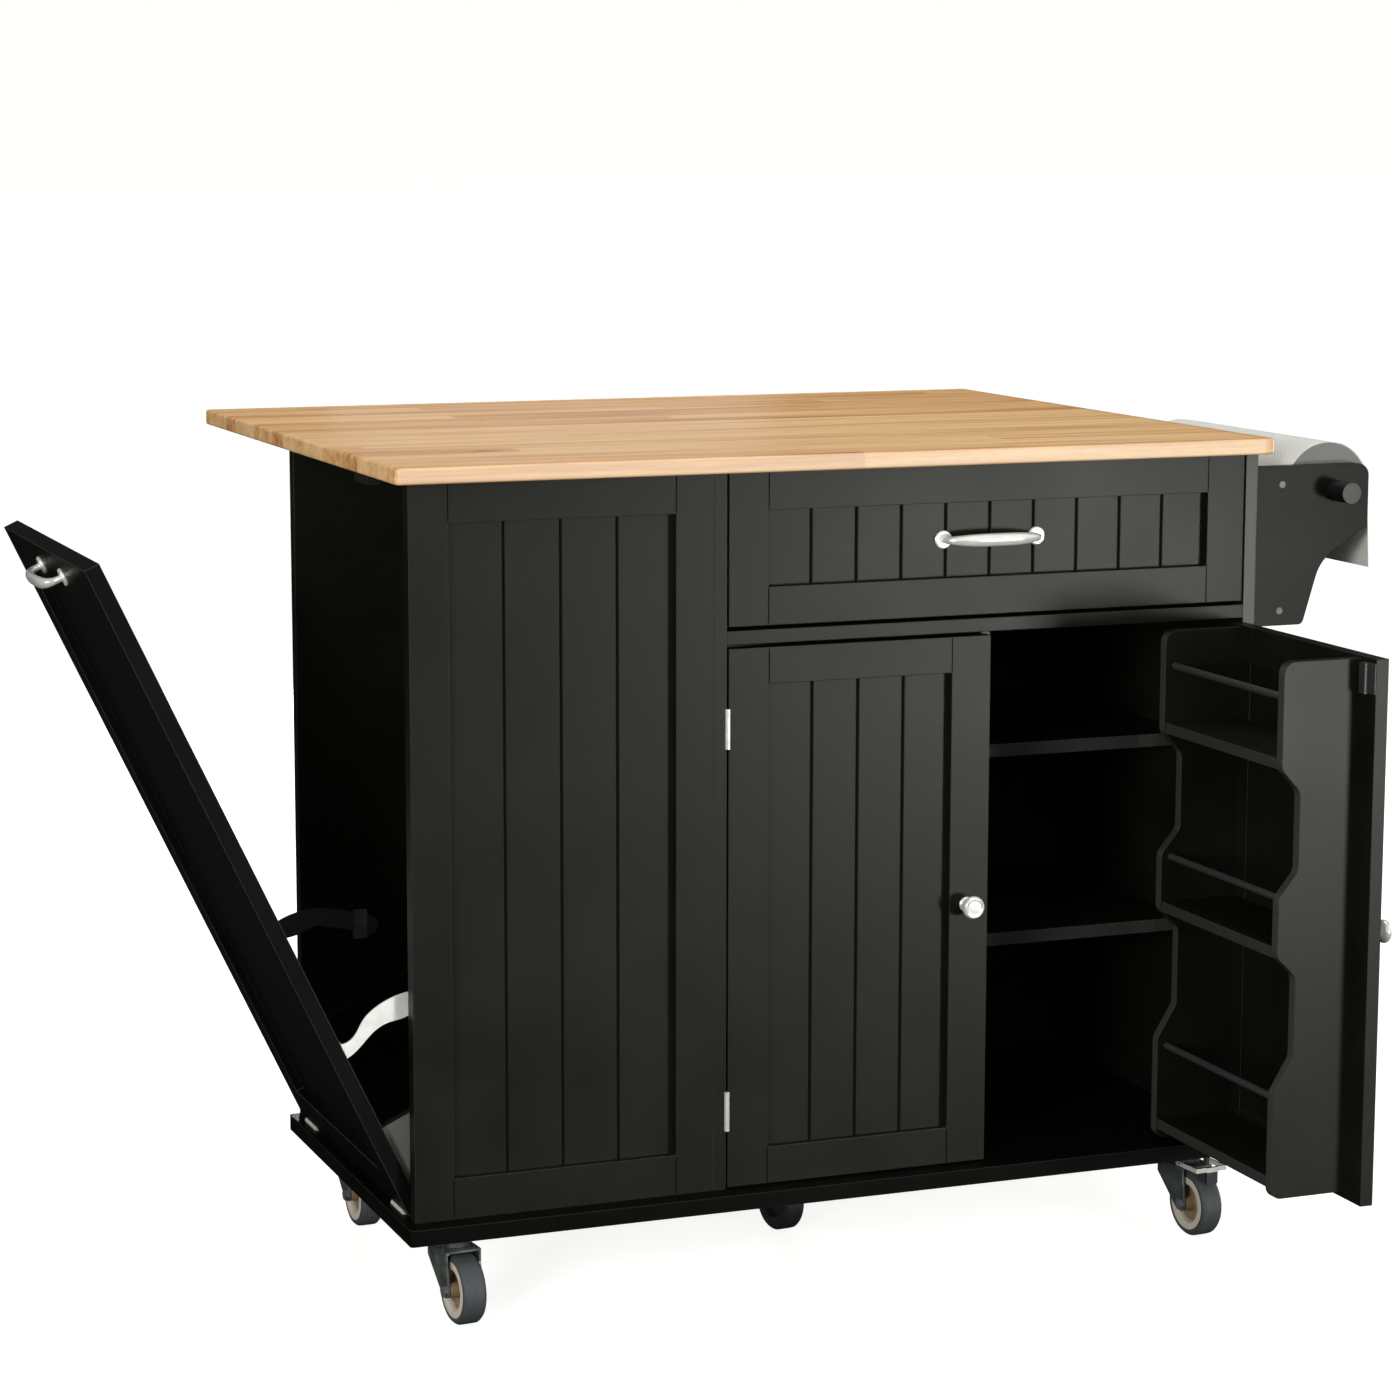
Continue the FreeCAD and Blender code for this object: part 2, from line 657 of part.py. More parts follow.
def rack_side(name):
    """A side board's outline on Y and Z, measured from the door's inner face and the floor."""
    corners = [
        ((ZERO, rack_low), None),
        ((rack_deep, rack_low), rack_low_round),
        ((rack_deep, low_lobe_high), rack_curve),
        ((rack_waist, waist_1_low), rack_curve),
        ((rack_waist, waist_1_high), rack_curve),
        ((rack_deep, middle_lobe_low), rack_curve),
        ((rack_deep, middle_lobe_high), rack_curve),
        ((rack_waist, waist_2_low), rack_curve),
        ((rack_waist, waist_2_high), rack_curve),
        ((rack_deep, top_lobe_low), rack_curve),
        ((rack_deep, rack_high), rack_top_round),
        ((ZERO, rack_high), None),
    ]
    points = [corner for corner, radius in corners]
    rounds = [(corner, radius) for corner, radius in corners if radius]
    return slab(name, "YZ_Plane", points, rack_thick, rounds)


rack_right = right_axis[0] - rack_from_hinge
rack_left = rack_right - rack_wide
rack_rods = []
rack_shelves = []
rod_y = door_inside + rack_deep - rack_rod_in
rod_holes = {"left": [], "right": []}
for level, z in (("top", top_rod), ("middle", middle_rod), ("low", low_rod)):
    start = rack_left + rack_thick - rod_in_board
    long = rack_wide - rack_thick * 2 + rod_in_board * 2
    rack_rods.append(peg(f"{level}_rod", "x", (start, rod_y, z), rack_rod / 2, long))
    for side in rod_holes:
        hole_x = start if side == "left" else rack_right - rack_thick
        radius = rack_rod / 2 + pin_loose
        hole = peg(f"{level}_rod_{side}_hole", "x", (hole_x, rod_y, z), radius, rod_in_board)
        rod_holes[side].append(hole)
for level, z in (("top", top_rack_shelf), ("middle", middle_rack_shelf), ("low", low_rack_shelf)):
    x = (rack_left + rack_thick, rack_right - rack_thick)
    y = (door_inside, door_inside + rack_deep - rack_shelf_in)
    rack_shelves.append(block(f"{level}_rack_shelf", x, y, (z - rack_thick, z)))
rack_boards = []
for side, x in (("left", rack_left), ("right", rack_right - rack_thick)):
    board = moved(f"rack_{side}_placed", [rack_side(f"rack_{side}")], x, door_inside, ZERO)
    rack_boards.append(cut(f"rack_{side}_drilled", board, *rod_holes[side]))

right_frame, right_panel, right_knob, right_strike = door_parts("right")
right_pivot = (right_axis[0], right_axis[1], ZERO)


def opened(name, pieces):
    return [turned(f"{name}_{i}_opened", [p], "z", door_open, right_pivot) for i, p in enumerate(pieces)]


node("right_door_frame", *opened("right_frame", right_frame))
node("right_door_panel", *opened("right_panel", [right_panel]))
node("right_door_knob", *opened("right_knob", [right_knob]))
node("right_door_fittings", *opened("right_fitting", moving_leaves["right"] + [right_strike]))
node("rack_sides", *opened("rack_board", rack_boards))
node("rack_shelves", *opened("rack_shelf", rack_shelves))
node("rack_rods", *opened("rack_rod", rack_rods))

# Drawer: front, box on side slides, bow handle

drawer_gap = size("drawer_gap", 2.5, "drawer front to the panels and the worktop")
drawer_low_gap = size("drawer_low_gap", 4.5, "drawer front above its rail")
drawer_stile = size("drawer_stile", 46, "drawer front's stiles")
drawer_rail_wide = size("drawer_rail_wide", 42, "drawer front's rails")
DRAWER_BOARDS = 10
box_thick = size("box_thick", 12, "drawer box boards")
box_long = size("box_long", 400, "drawer box, front to back")
box_low = size("box_low", 10, "drawer box above the rail")
box_tall = size("box_tall", 130, "drawer box sides")
slide_wide = size("slide_wide", 12.5, "room for a slide beside the box")
slide_tall = size("slide_tall", 35, "slide, up and down")
slide_steel = size("slide_steel", 1.2, "slide's sheet")
slide_lip = size("slide_lip", 0.4, "running clearance inside a slide")
slide_up = size("slide_up", 40, "slide above the bottom of the box")
bottom_thick = size("bottom_thick", 5, "drawer bottom")
bottom_up = size("bottom_up", 10, "drawer bottom above the sides' lower edge")
bottom_in_groove = size("bottom_in_groove", 5, "drawer bottom in the boards' grooves")

drawer_x = (divider_right + drawer_gap, side_inside - drawer_gap)
drawer_z = (rail_high + drawer_low_gap, high - drawer_gap)
drawer_frame, drawer_panel = frame_and_panel(
    "drawer", drawer_x[1] - drawer_x[0], drawer_z[1] - drawer_z[0], door_thick,
    drawer_stile, drawer_rail_wide,
    drawer_rail_wide, door_panel_thick, DRAWER_BOARDS)
node("drawer_front_frame",
     *[moved(f"drawer_member_{i}_placed", [member], drawer_x[0], front_in, drawer_z[0])
       for i, member in enumerate(drawer_frame)])
node("drawer_front_panel", moved("drawer_panel_placed", [drawer_panel], drawer_x[0], front_in, drawer_z[0]))

box_x = (divider_right + slide_wide, side_inside - slide_wide)
box_y = (door_inside, door_inside + box_long)
box_z = (rail_high + box_low, rail_high + box_low + box_tall)
bottom_x = (box_x[0] + box_thick - bottom_in_groove, box_x[1] - box_thick + bottom_in_groove)
bottom_y = (box_y[0] + box_thick - bottom_in_groove, box_y[1] - box_thick + bottom_in_groove)
bottom_z = (box_z[0] + bottom_up, box_z[0] + bottom_up + bottom_thick)
box_boards = {
    "inner_front": (box_x, (box_y[0], box_y[0] + box_thick)),
    "back": ((box_x[0] + box_thick, box_x[1] - box_thick), (box_y[1] - box_thick, box_y[1])),
    "left": ((box_x[0], box_x[0] + box_thick), (box_y[0] + box_thick, box_y[1])),
    "right": ((box_x[1] - box_thick, box_x[1]), (box_y[0] + box_thick, box_y[1])),
}
box_solids = []
for part, (x, y) in box_boards.items():
    blank = block(f"box_{part}_blank", x, y, box_z)
    box_solids.append(cut(f"box_{part}", blank, block(f"box_{part}_groove", bottom_x, bottom_y, bottom_z)))
node("drawer_box", *box_solids)
node("drawer_bottom", block("drawer_bottom_board", bottom_x, bottom_y, bottom_z))

slide_y = (door_inside + hinge_gap, door_inside + box_long)
slide_z = (box_z[0] + slide_up, box_z[0] + slide_up + slide_tall)
outer_slides = []
inner_slides = []
for side, wall, toward in (("left", divider_right, 1), ("right", side_inside, -1)):
    room = slide_steel + slide_lip
    reach = slide_wide - slide_steel - slide_lip

    def across(start, end):
        """A span measured from the cabinet's wall towards the drawer."""
        return (wall + start, wall + end) if toward > 0 else (wall - end, wall - start)

    web = block(f"{side}_runner_web", across(ZERO, slide_steel), slide_y, slide_z)
    top_z = (slide_z[1] - slide_steel, slide_z[1])
    top_lip = block(f"{side}_runner_top", across(ZERO, reach), slide_y, top_z)
    low_z = (slide_z[0], slide_z[0] + slide_steel)
    low_lip = block(f"{side}_runner_low", across(ZERO, reach), slide_y, low_z)
    outer_slides.append(join(f"{side}_runner", web, top_lip, low_lip))
    inner_z = (slide_z[0] + room, slide_z[1] - room)
    back_web = block(f"{side}_slide_web", across(slide_wide - slide_steel, slide_wide), slide_y, inner_z)
    top_arm = block(
        f"{side}_slide_top", across(room, slide_wide), slide_y, (inner_z[1] - slide_steel, inner_z[1]))
    low_arm = block(
        f"{side}_slide_low", across(room, slide_wide), slide_y, (inner_z[0], inner_z[0] + slide_steel))
    inner_slides.append(join(f"{side}_slide", back_web, top_arm, low_arm))
node("drawer_runners", *outer_slides)
node("drawer_slides", *inner_slides)

# Bow handle: round sections from one foot over the bow to the other

handle_long = size("handle_long", 114, "handle, between its feet's centres")
handle_out = size("handle_out", 27, "handle's bow, from the board")
handle_foot = size("handle_foot", 20, "handle's round foot, across")
handle_foot_thick = size("handle_foot_thick", 3.5, "handle's foot, thickness")
handle_neck = size("handle_neck", 7, "handle at its thinnest, across")
handle_middle = size("handle_middle", 13.5, "handle in the middle, across")
handle_high = size("handle_high", 826, "drawer handle above the floor")
# Half of the bow: shares of the half length and of the rise, and the turn from the board's normal in degrees
BOW_SHARES = ((0.0, 0.0, 0), (0.0, 0.15, 0), (0.05, 0.5, 25), (0.2, 0.8, 55), (0.5, 0.95, 78), (1.0, 1.0, 90))


def bow_handle(name):
    """A bow handle along X on two round feet, its feet on Y 0, standing out towards -Y."""
    sections = []
    between = (handle_neck + handle_middle) / 2
    widths = [handle_middle, handle_neck * 1.3, handle_neck, handle_neck, between, handle_middle]
    stations = [(along - 1, rise, turn, width) for (along, rise, turn), width in zip(BOW_SHARES, widths)]
    stations += [(-along, rise, 180 - turn, width) for along, rise, turn, width in reversed(stations[:-1])]
    for i, (along, rise, turn, width) in enumerate(stations):
        ring = doc.addObject("Part::Circle", f"{name}_ring_{i}")
        bind(ring, "Radius", width / 2)
        # A ring's normal starts along -Y and turns towards +X
        first = FreeCAD.Rotation(Vector(1, 0, 0), 90)
        ring.Placement = FreeCAD.Placement(Vector(), FreeCAD.Rotation(Vector(0, 0, 1), turn) * first)
        move_to(ring, handle_long / 2 * along, -(handle_out - handle_middle / 2) * rise, ZERO)
        sections.append(ring)
    loft = doc.addObject("Part::Loft", name)
    loft.Sections = sections
    loft.Solid = True
    loft.Ruled = False
    feet = [peg(f"{name}_foot_{i}", "y", (handle_long / 2 * side, -handle_foot_thick, ZERO),
                handle_foot / 2, handle_foot_thick)
            for i, side in enumerate((-1, 1))]
    return join(name + "_whole", loft, *feet)


handle_x = (drawer_x[0] + drawer_x[1]) / 2
drawer_bow = bow_handle("drawer_bow")
node("drawer_handle",
     moved("drawer_handle_placed", [drawer_bow], handle_x, front_in + panel_behind, handle_high))

# Bin door: built closed and upright, then tilted out about its bottom hinges

bin_tilt = size("bin_tilt", 25.1, "bin door at rest, degrees open")
bin_side_gap = size("bin_side_gap", 1.5, "bin door to the front and back panels")
bin_top_gap = size("bin_top_gap", 7, "bin door below the worktop")
bin_thick = size("bin_thick", 17, "bin door's frame")
bin_face_in = size("bin_face_in", 0.8, "bin door's outer face past the panels' left edges")
bin_stile = size("bin_stile", 47, "bin door's stiles")
bin_top_rail = size("bin_top_rail", 47, "bin door's top rail")
bin_low_rail = size("bin_low_rail", 47, "bin door's low rail")
bin_panel_thick = size("bin_panel_thick", 6, "bin door's flat panel")
bin_hinge_in = size("bin_hinge_in", 18, "bin hinges from the door's ends")
bin_handle_down = size("bin_handle_down", 27, "bin handle below the door's top")

bin_x = left_in - bin_face_in
bin_axis = (bin_x, low + hinge_gap / 2)
bin_low = low + hinge_gap
bin_high = high - bin_top_gap
bin_y = (front_in + bay_front_thick + bin_side_gap, back_inside - bin_side_gap)
bin_wide = bin_y[1] - bin_y[0]
bin_tall = bin_high - bin_low
bin_inside = bin_x + bin_thick
bin_pivot = (bin_axis[0], ZERO, bin_axis[1])
hinge_spots = (bin_y[0] + bin_hinge_in, bin_y[1] - bin_hinge_in - hinge_long)


def along_y(name, piece, start):
    """A hinge half laid along Y: its carrier below, its door above, its leaves towards +X."""
    laid = doc.addObject("Part::Compound", name)
    laid.Links = [piece]
    laid.Placement = FreeCAD.Placement(Vector(), FreeCAD.Rotation(Vector(1, 1, 1), 240))
    move_to(laid, bin_axis[0], start, bin_axis[1])
    return laid


def tilted(name, pieces):
    return [turned(f"{name}_{i}_tilted", [p], "y", -bin_tilt, bin_pivot) for i, p in enumerate(pieces)]


bin_fixed_leaves = []
bin_moving_leaves = []
bin_rooms = []
base_rooms = []
for i, start in enumerate(hinge_spots):
    fixed, moving = butt_hinge(f"bin_hinge_{i}", 1)
    bin_fixed_leaves.append(along_y(f"bin_hinge_{i}_fixed_placed", fixed, start))
    bin_moving_leaves.append(along_y(f"bin_hinge_{i}_moving_placed", moving, start))
    base_rooms.append(along_y(f"bin_hinge_{i}_base_room", barrel_room(f"bin_room_base_{i}"), start))
    # In the door's own frame X runs from its rear end to its front end, and its outer face is at Y 0
    from_rear = bin_y[1] - start - hinge_long

    def make(name, from_rear=from_rear):
        slot = peg(name, "x", (from_rear - hinge_slack, ZERO, -hinge_gap / 2),
                   hinge_barrel + hinge_slack, hinge_long + hinge_slack * 2)
        return slot

    bin_rooms += [(owner, make) for owner in ("low_rail", "left_stile", "right_stile")]

bin_frame, bin_panel = frame_and_panel(
    "bin_door", bin_wide, bin_tall, bin_thick, bin_stile, bin_top_rail, bin_low_rail, bin_panel_thick, 1, bin_rooms)


def on_bin_door(name, piece):
    """Turns a piece from the front's own frame, face towards -Y, to the closed bin door, face towards -X."""
    laid = turned(name + "_faced", [piece], "z", -90, (ZERO, ZERO, ZERO))
    return moved(name + "_placed", [laid], bin_x, bin_y[1], bin_low)


bin_members = [on_bin_door(f"bin_member_{i}", m) for i, m in enumerate(bin_frame)]
bin_board = on_bin_door("bin_panel", bin_panel)
bin_grip = moved("bin_bow_up", [bow_handle("bin_bow")], bin_wide / 2, ZERO, bin_tall - bin_handle_down)
bin_grip = on_bin_door("bin_grip", bin_grip)
bin_strike_z = (bin_high - strike_down - strike_wide, bin_high - strike_down)
bin_middle = (bin_y[0] + bin_y[1]) / 2
bin_strike = block("bin_strike", (bin_inside, bin_inside + strike_thick),
                   (bin_middle - strike_tall / 2, bin_middle + strike_tall / 2), bin_strike_z)
node("bin_door_frame", *tilted("bin_frame", bin_members))
node("bin_door_panel", *tilted("bin_panel_board", [bin_board]))
node("bin_door_handle", *tilted("bin_handle", [bin_grip]))
node("bin_door_fittings", *tilted("bin_fitting", bin_moving_leaves + [bin_strike]))

# Bin tray: an open box fixed to the bin door's inner face

tray_thick = size("tray_thick", 12, "tray boards")
tray_bottom_thick = size("tray_bottom_thick", 6, "tray bottom")
tray_in = size("tray_in", 10.5, "tray from the bin door's ends")
tray_up = size("tray_up", 6, "tray above the hinge axis")
tray_tall = size("tray_tall", 95, "tray sides")
tray_deep = size("tray_deep", 283, "tray, from the door to its back")
tray_y = (bin_y[0] + tray_in, bin_y[1] - tray_in)
tray_x = (bin_inside, bin_inside + tray_deep)
tray_z = (bin_axis[1] + tray_up, bin_axis[1] + tray_up + tray_tall)
inner_y = (tray_y[0] + tray_thick, tray_y[1] - tray_thick)
tray = [
    block("tray_near", tray_x, (tray_y[0], inner_y[0]), tray_z),
    block("tray_far", tray_x, (inner_y[1], tray_y[1]), tray_z),
    block("tray_back", (tray_x[1] - tray_thick, tray_x[1]), inner_y, tray_z),
    block("tray_floor", (tray_x[0], tray_x[1] - tray_thick), inner_y, (tray_z[0], tray_z[0] + tray_bottom_thick)),
]
node("bin_tray", *tilted("tray", tray))

# Stays: flat steel arcs about the bin door's hinge axis, fixed to the door by a bent foot

stay_mid = size("stay_mid", 240, "stay's arc, middle radius")
stay_wide = size("stay_wide", 22, "stay's band")
stay_thick = size("stay_thick", 2, "stay's sheet")
stay_in = size("stay_in", 1.5, "stay's plane from the bin door's ends")
stay_bend = size("stay_bend", 30, "angle at which the band starts, degrees from the closed door's plane")
front_stay_end = size("front_stay_end", 37, "angle at which the front stay's band ends")
rear_stay_end = size("rear_stay_end", 46, "angle at which the rear stay's band ends")
stay_tip = size("stay_tip", 2, "rounding of a band's end, as degrees that its middle reaches past the end")
foot_low = size("foot_low", 193, "foot's lower edge above the hinge axis")
foot_high = size("foot_high", 210, "foot's upper edge")
foot_deep = size("foot_deep", 9, "foot's flange along the door")
# The S between the foot and the band, as (share of the band's middle radius, share of its starting angle)
S_UPPER_SHARES = ((0.89, 0.31), (0.947, 0.43), (0.994, 0.583), (1.027, 0.767))
BAND_LOW_SHARE = 1.1  # the band's lower edge starts at this share of the angle where its upper edge does
S_LOWER_SHARES = ((0.954, 0.96), (0.919, 0.8), (0.909, 0.667), (0.884, 0.513), (0.832, 0.333))


def at_polar(radius, degrees):
    """A point on X and Z at that radius from the hinge axis and that angle from straight up, towards +X."""
    angle = math.radians(degrees)
    return Vector(bin_axis[0].number + radius * math.sin(angle), 0, bin_axis[1].number + radius * math.cos(angle))


def stay(name, y, end, flange_side):
    """One stay: an S from the door's inner face into a band of constant radius, and a flange on the door."""
    middle = stay_mid.number
    inner = middle - stay_wide.number / 2
    outer = middle + stay_wide.number / 2
    start, end = stay_bend.number, end.number
    door_x = bin_inside.number
    foot_top = Vector(door_x, 0, bin_axis[1].number + foot_high.number)
    foot_bottom = Vector(door_x, 0, bin_axis[1].number + foot_low.number)
    upper = [foot_top]
    upper += [at_polar(middle * share, start * turn) for share, turn in S_UPPER_SHARES]
    upper.append(at_polar(outer, start))
    lower = [at_polar(inner, start * BAND_LOW_SHARE)]
    lower += [at_polar(middle * share, start * turn) for share, turn in S_LOWER_SHARES]
    upper_s = Part.BSplineCurve()
    upper_s.interpolate(upper)
    lower_s = Part.BSplineCurve()
    lower_s.interpolate(lower + [foot_bottom])
    half = (start + end) / 2
    tip = end + stay_tip.number
    edges = [
        upper_s.toShape(),
        Part.Arc(upper[-1], at_polar(outer, half), at_polar(outer, end)).toShape(),
        Part.Arc(at_polar(outer, end), at_polar(middle, tip), at_polar(inner, end)).toShape(),
        Part.Arc(at_polar(inner, end), at_polar(inner, half), lower[0]).toShape(),
        lower_s.toShape(),
        Part.LineSegment(foot_bottom, foot_top).toShape(),
    ]
    band = Part.Face(Part.Wire(edges)).extrude(Vector(0, stay_thick.number, 0))
    corner = Vector(door_x, 0 if flange_side > 0 else stay_thick.number - foot_deep.number, foot_bottom.z)
    flange = Part.makeBox(stay_thick.number, foot_deep.number, foot_high.number - foot_low.number, corner)
    solid = doc.addObject("Part::Feature", name)
    solid.Shape = band.fuse(flange).removeSplitter()
    move_to(solid, ZERO, y, ZERO)
    return solid


stay_y = (bin_y[0] + stay_in, bin_y[1] - stay_in - stay_thick)
stays = [stay("front_stay", stay_y[0], front_stay_end, 1), stay("rear_stay", stay_y[1], rear_stay_end, -1)]
node("bin_door_stays", *tilted("stay", stays))

# Guides: steel hooks on the front and back panels that the stays slide under; they are open below, where the
# stays' narrower feet pass as the bin door closes

front_guide_x = size("front_guide_x", 20, "front guide's left edge from the hinge axis, clear of the closed door")
rear_guide_x = size("rear_guide_x", 64, "rear guide's left edge from the hinge axis")
guide_wide = size("guide_wide", 16, "guide, left to right")
guide_steel = size("guide_steel", 1.2, "guide's sheet")
guide_slack = size("guide_slack", 0.8, "guide above the band")
guide_side = size("guide_side", 0.8, "guide beside the band")
guide_below = size("guide_below", 4, "guide's plates below the band")
outer_2 = (stay_mid + stay_wide / 2) * (stay_mid + stay_wide / 2)
inner_2 = (stay_mid - stay_wide / 2) * (stay_mid - stay_wide / 2)
guides = []
for side, wall, near, left in (
        ("front", front_in + bay_front_thick, stay_y[0], front_guide_x), ("rear", back_inside, stay_y[1], rear_guide_x)):
    right = left + guide_wide
    x = (bin_axis[0] + left, bin_axis[0] + right)
    top = bin_axis[1] + root(outer_2 - left * left) + guide_slack
    under = bin_axis[1] + root(inner_2 - right * right) - guide_below
    if side == "front":
        outside = near + stay_thick + guide_side
        y = (wall, outside + guide_steel)
        hollow_y = (wall + guide_steel, outside)
    else:
        outside = near - guide_side
        y = (outside - guide_steel, wall)
        hollow_y = (outside, wall - guide_steel)
    hook = block(f"{side}_guide_blank", x, y, (under, top + guide_steel))
    hollow_x = (x[0] - guide_steel, x[1] + guide_steel)
    hollow = block(f"{side}_guide_hollow", hollow_x, hollow_y, (under - guide_steel, top))
    guides.append(cut(f"{side}_guide", hook, hollow))
node("stay_guides", *guides)

# Magnetic catches

bin_catch_x = (bin_inside + strike_thick + catch_gap, bin_inside + strike_thick + catch_gap + catch_deep)
bin_catch = block("bin_catch", bin_catch_x, (bin_middle - catch_tall, bin_middle + catch_tall),
                  (high - catch_tall, high))
# The doors share one catch on the line between them, just clear of the closing rack's far corner
between_doors = (left_axis[0] + right_axis[0]) / 2
catch_y = front_in + door_thick + strike_thick + catch_gap
door_catch = block("door_catch", (between_doors - catch_wide / 2, between_doors + catch_wide / 2),
                   (catch_y, catch_y + catch_deep), (rail_low - catch_tall, rail_low))
node("magnetic_catches", door_catch, bin_catch)

# Drop leaf support: a wall plate on the back panel, an arm under the leaf that turns on its upper rivet, and a
# strut that turns on its lower rivet; the strut's upper end, which slides in the arm, is the loop's open joint

leaf_axis_down = size("leaf_axis_down", 12, "leaf's pivot below the leaf")
leaf_axis_out = size("leaf_axis_out", 6, "leaf's pivot behind the back panel")
plate_half = size("plate_half", 10, "half the width of a wall plate")
plate_steel = size("plate_steel", 1.5, "brackets' sheet")
plate_out = size("plate_out", 12, "wall plate's depth")
rivet = size("rivet", 3, "rivet's radius")
rivet_head = size("rivet_head", 4.5, "rivet head's radius")
rivet_head_thick = size("rivet_head_thick", 1.2, "rivet head")
arm_gap = size("arm_gap", 0.4, "arm beside the wall plate")
arm_long = size("arm_long", 262, "arm, from the pivot")
arm_round = size("arm_round", 5.5, "arm's end around the pivot")
strut_drop = size("strut_drop", 100, "between the two rivets of a wall plate")
strut_half = size("strut_half", 1.5, "half the strut's thickness")
strut_wide = size("strut_wide", 8, "strut's bar")
bracket_in = size("bracket_in", 205, "brackets from the ends of the worktop")
arm_start = size("arm_start", 0.6, "arm's web behind the leaf's front edge")
strut_gap = size("strut_gap", 2, "strut's upper end below the arm's web")

pivot = (base_deep + leaf_axis_out, high - leaf_axis_down)
plates = []
arms = []
struts = []
for side, x in (("left", top_left + bracket_in), ("right", top_right - bracket_in)):
    foot_z = pivot[1] - strut_drop
    plate_z = (foot_z - arm_round * 2, pivot[1] + arm_round)
    plate = cut(
        f"{side}_wall_plate",
        block(f"{side}_plate_blank", (x - plate_half, x + plate_half), (base_deep, base_deep + plate_out), plate_z),
        block(f"{side}_plate_hollow", (x - plate_half + plate_steel, x + plate_half - plate_steel),
              (base_deep + plate_steel, base_deep + plate_out + plate_steel),
              (plate_z[0] - plate_steel, plate_z[1] + plate_steel)))
    arm_in = plate_half + arm_gap
    arm_out = arm_in + plate_steel
    head = arm_out + arm_gap
    top_rivet = peg(f"{side}_top_rivet", "x", (x - head, *pivot), rivet, head * 2)
    heads = [peg(f"{side}_rivet_head_{i}", "x", (start, *pivot), rivet_head, rivet_head_thick)
             for i, start in enumerate((x - head - rivet_head_thick, x + head))]
    low_rivet = peg(f"{side}_low_rivet", "x", (x - plate_half, pivot[0], foot_z), rivet, plate_half * 2)
    plates.append(join(f"{side}_plate_riveted", plate, top_rivet, low_rivet, *heads))

    web_y = leaf_front + arm_start
    arm_points = [
        (pivot[0] - arm_round, pivot[1] - arm_round), (pivot[0] + arm_long, pivot[1] - arm_round),
        (pivot[0] + arm_long, high), (web_y, high), (web_y - arm_start * 2, pivot[1] + arm_round),
        (pivot[0] - arm_round, pivot[1] + arm_round),
    ]
    cheek_rounds = [(arm_points[0], arm_round * 0.9), (arm_points[5], arm_round * 0.9)]
    cheeks = []
    for i, start in enumerate((x - arm_out, x + arm_in)):
        cheek = slab(f"{side}_arm_cheek_{i}", "YZ_Plane", arm_points, plate_steel, cheek_rounds)
        cheeks.append(moved(f"{side}_arm_cheek_{i}_placed", [cheek], start, ZERO, ZERO))
    arm_y = (web_y, pivot[0] + arm_long)
    web = block(f"{side}_arm_web", (x - arm_out, x + arm_out), arm_y, (high - plate_steel, high))
    arm = join(f"{side}_arm_folded", web, *cheeks)
    hole = peg(f"{side}_arm_hole", "x", (x - head, *pivot), rivet + pin_fit, head * 2)
    arms.append(cut(f"{side}_arm", arm, hole))

    reach = strut_drop * math.sqrt(2)
    bar_points = [
        (-strut_wide / 2, -strut_wide / 2), (strut_wide / 2, -strut_wide / 2),
        (strut_wide / 2, reach), (-strut_wide / 2, reach),
    ]
    bar = slab(f"{side}_strut_bar", "YZ_Plane", bar_points, strut_half * 2,
               [(p, strut_wide * 0.49) for p in bar_points])
    bore = peg(f"{side}_strut_bore", "x", (ZERO, ZERO, ZERO), rivet + pin_fit, strut_half * 2)
    drilled = cut(f"{side}_strut_drilled", bar, bore)
    leaning = turned(f"{side}_strut_leaning", [drilled], "x", -45, (ZERO, ZERO, ZERO))
    struts.append(moved(f"{side}_strut", [leaning], x - strut_half, pivot[0], foot_z))
node("leaf_wall_plates", *plates)
node("drop_leaf", leaf_top)
node("leaf_arms", *arms)
node("leaf_struts", *struts)

# Paper roll holder on the right side

bracket_thick = size("bracket_thick", 15, "holder's bracket boards")
bracket_wide = size("bracket_wide", 145.5, "bracket at its top, from the side panel")
bracket_low_wide = size("bracket_low_wide", 62.5, "bracket at its bottom")
bracket_low = size("bracket_low", 711, "bracket's bottom above the floor")
bracket_high = size("bracket_high", 894, "bracket's top above the floor")
bracket_lobe = size("bracket_lobe", 822, "bottom of the bracket's right edge")
bracket_neck_x = size("bracket_neck_x", 84.5, "bend in the bracket's slanted edge, from the side panel")
bracket_neck_z = size("bracket_neck_z", 784, "bend in the bracket's slanted edge, above the floor")
bracket_round = size("bracket_round", 14, "bracket's top corner")
bracket_small_round = size("bracket_small_round", 7, "bracket's lower corners")
bracket_bend_round = size("bracket_bend_round", 50, "rounding of the slanted edge's bend")
bracket_span = size("bracket_span", 361, "between the two brackets")
holder_rail_wide = size("holder_rail_wide", 43.5, "holder's rails, out from the side panel")
holder_rail_thick = size("holder_rail_thick", 15, "holder's rails, up and down")
holder_screw_x = size("holder_screw_x", 32.5, "bracket screws from the side panel")
holder_screw_high = size("holder_screw_high", 873, "upper bracket screws above the floor")
holder_screw_low = size("holder_screw_low", 728, "lower bracket screws above the floor")
roll_out = size("roll_out", 101.5, "rod's axis from the side panel")
roll_high = size("roll_high", 864, "rod's axis above the floor")
rod_radius = size("rod_radius", 12, "rod's radius")
rod_past_front = size("rod_past_front", 37, "rod in front of the front bracket")
rod_past_back = size("rod_past_back", 12, "rod behind the rear bracket")
roll_radius = size("roll_radius", 54, "paper roll")
roll_end_gap = size("roll_end_gap", 4, "paper roll to the brackets")
core_wall = size("core_wall", 3, "roll's core")
core_gap = size("core_gap", 0.4, "roll's core round the rod")
tail_gap = size("tail_gap", 0.4, "hanging paper to the roll")
tail_thick = size("tail_thick", 0.8, "hanging paper")
tail_low = size("tail_low", 771, "end of the hanging paper above the floor")
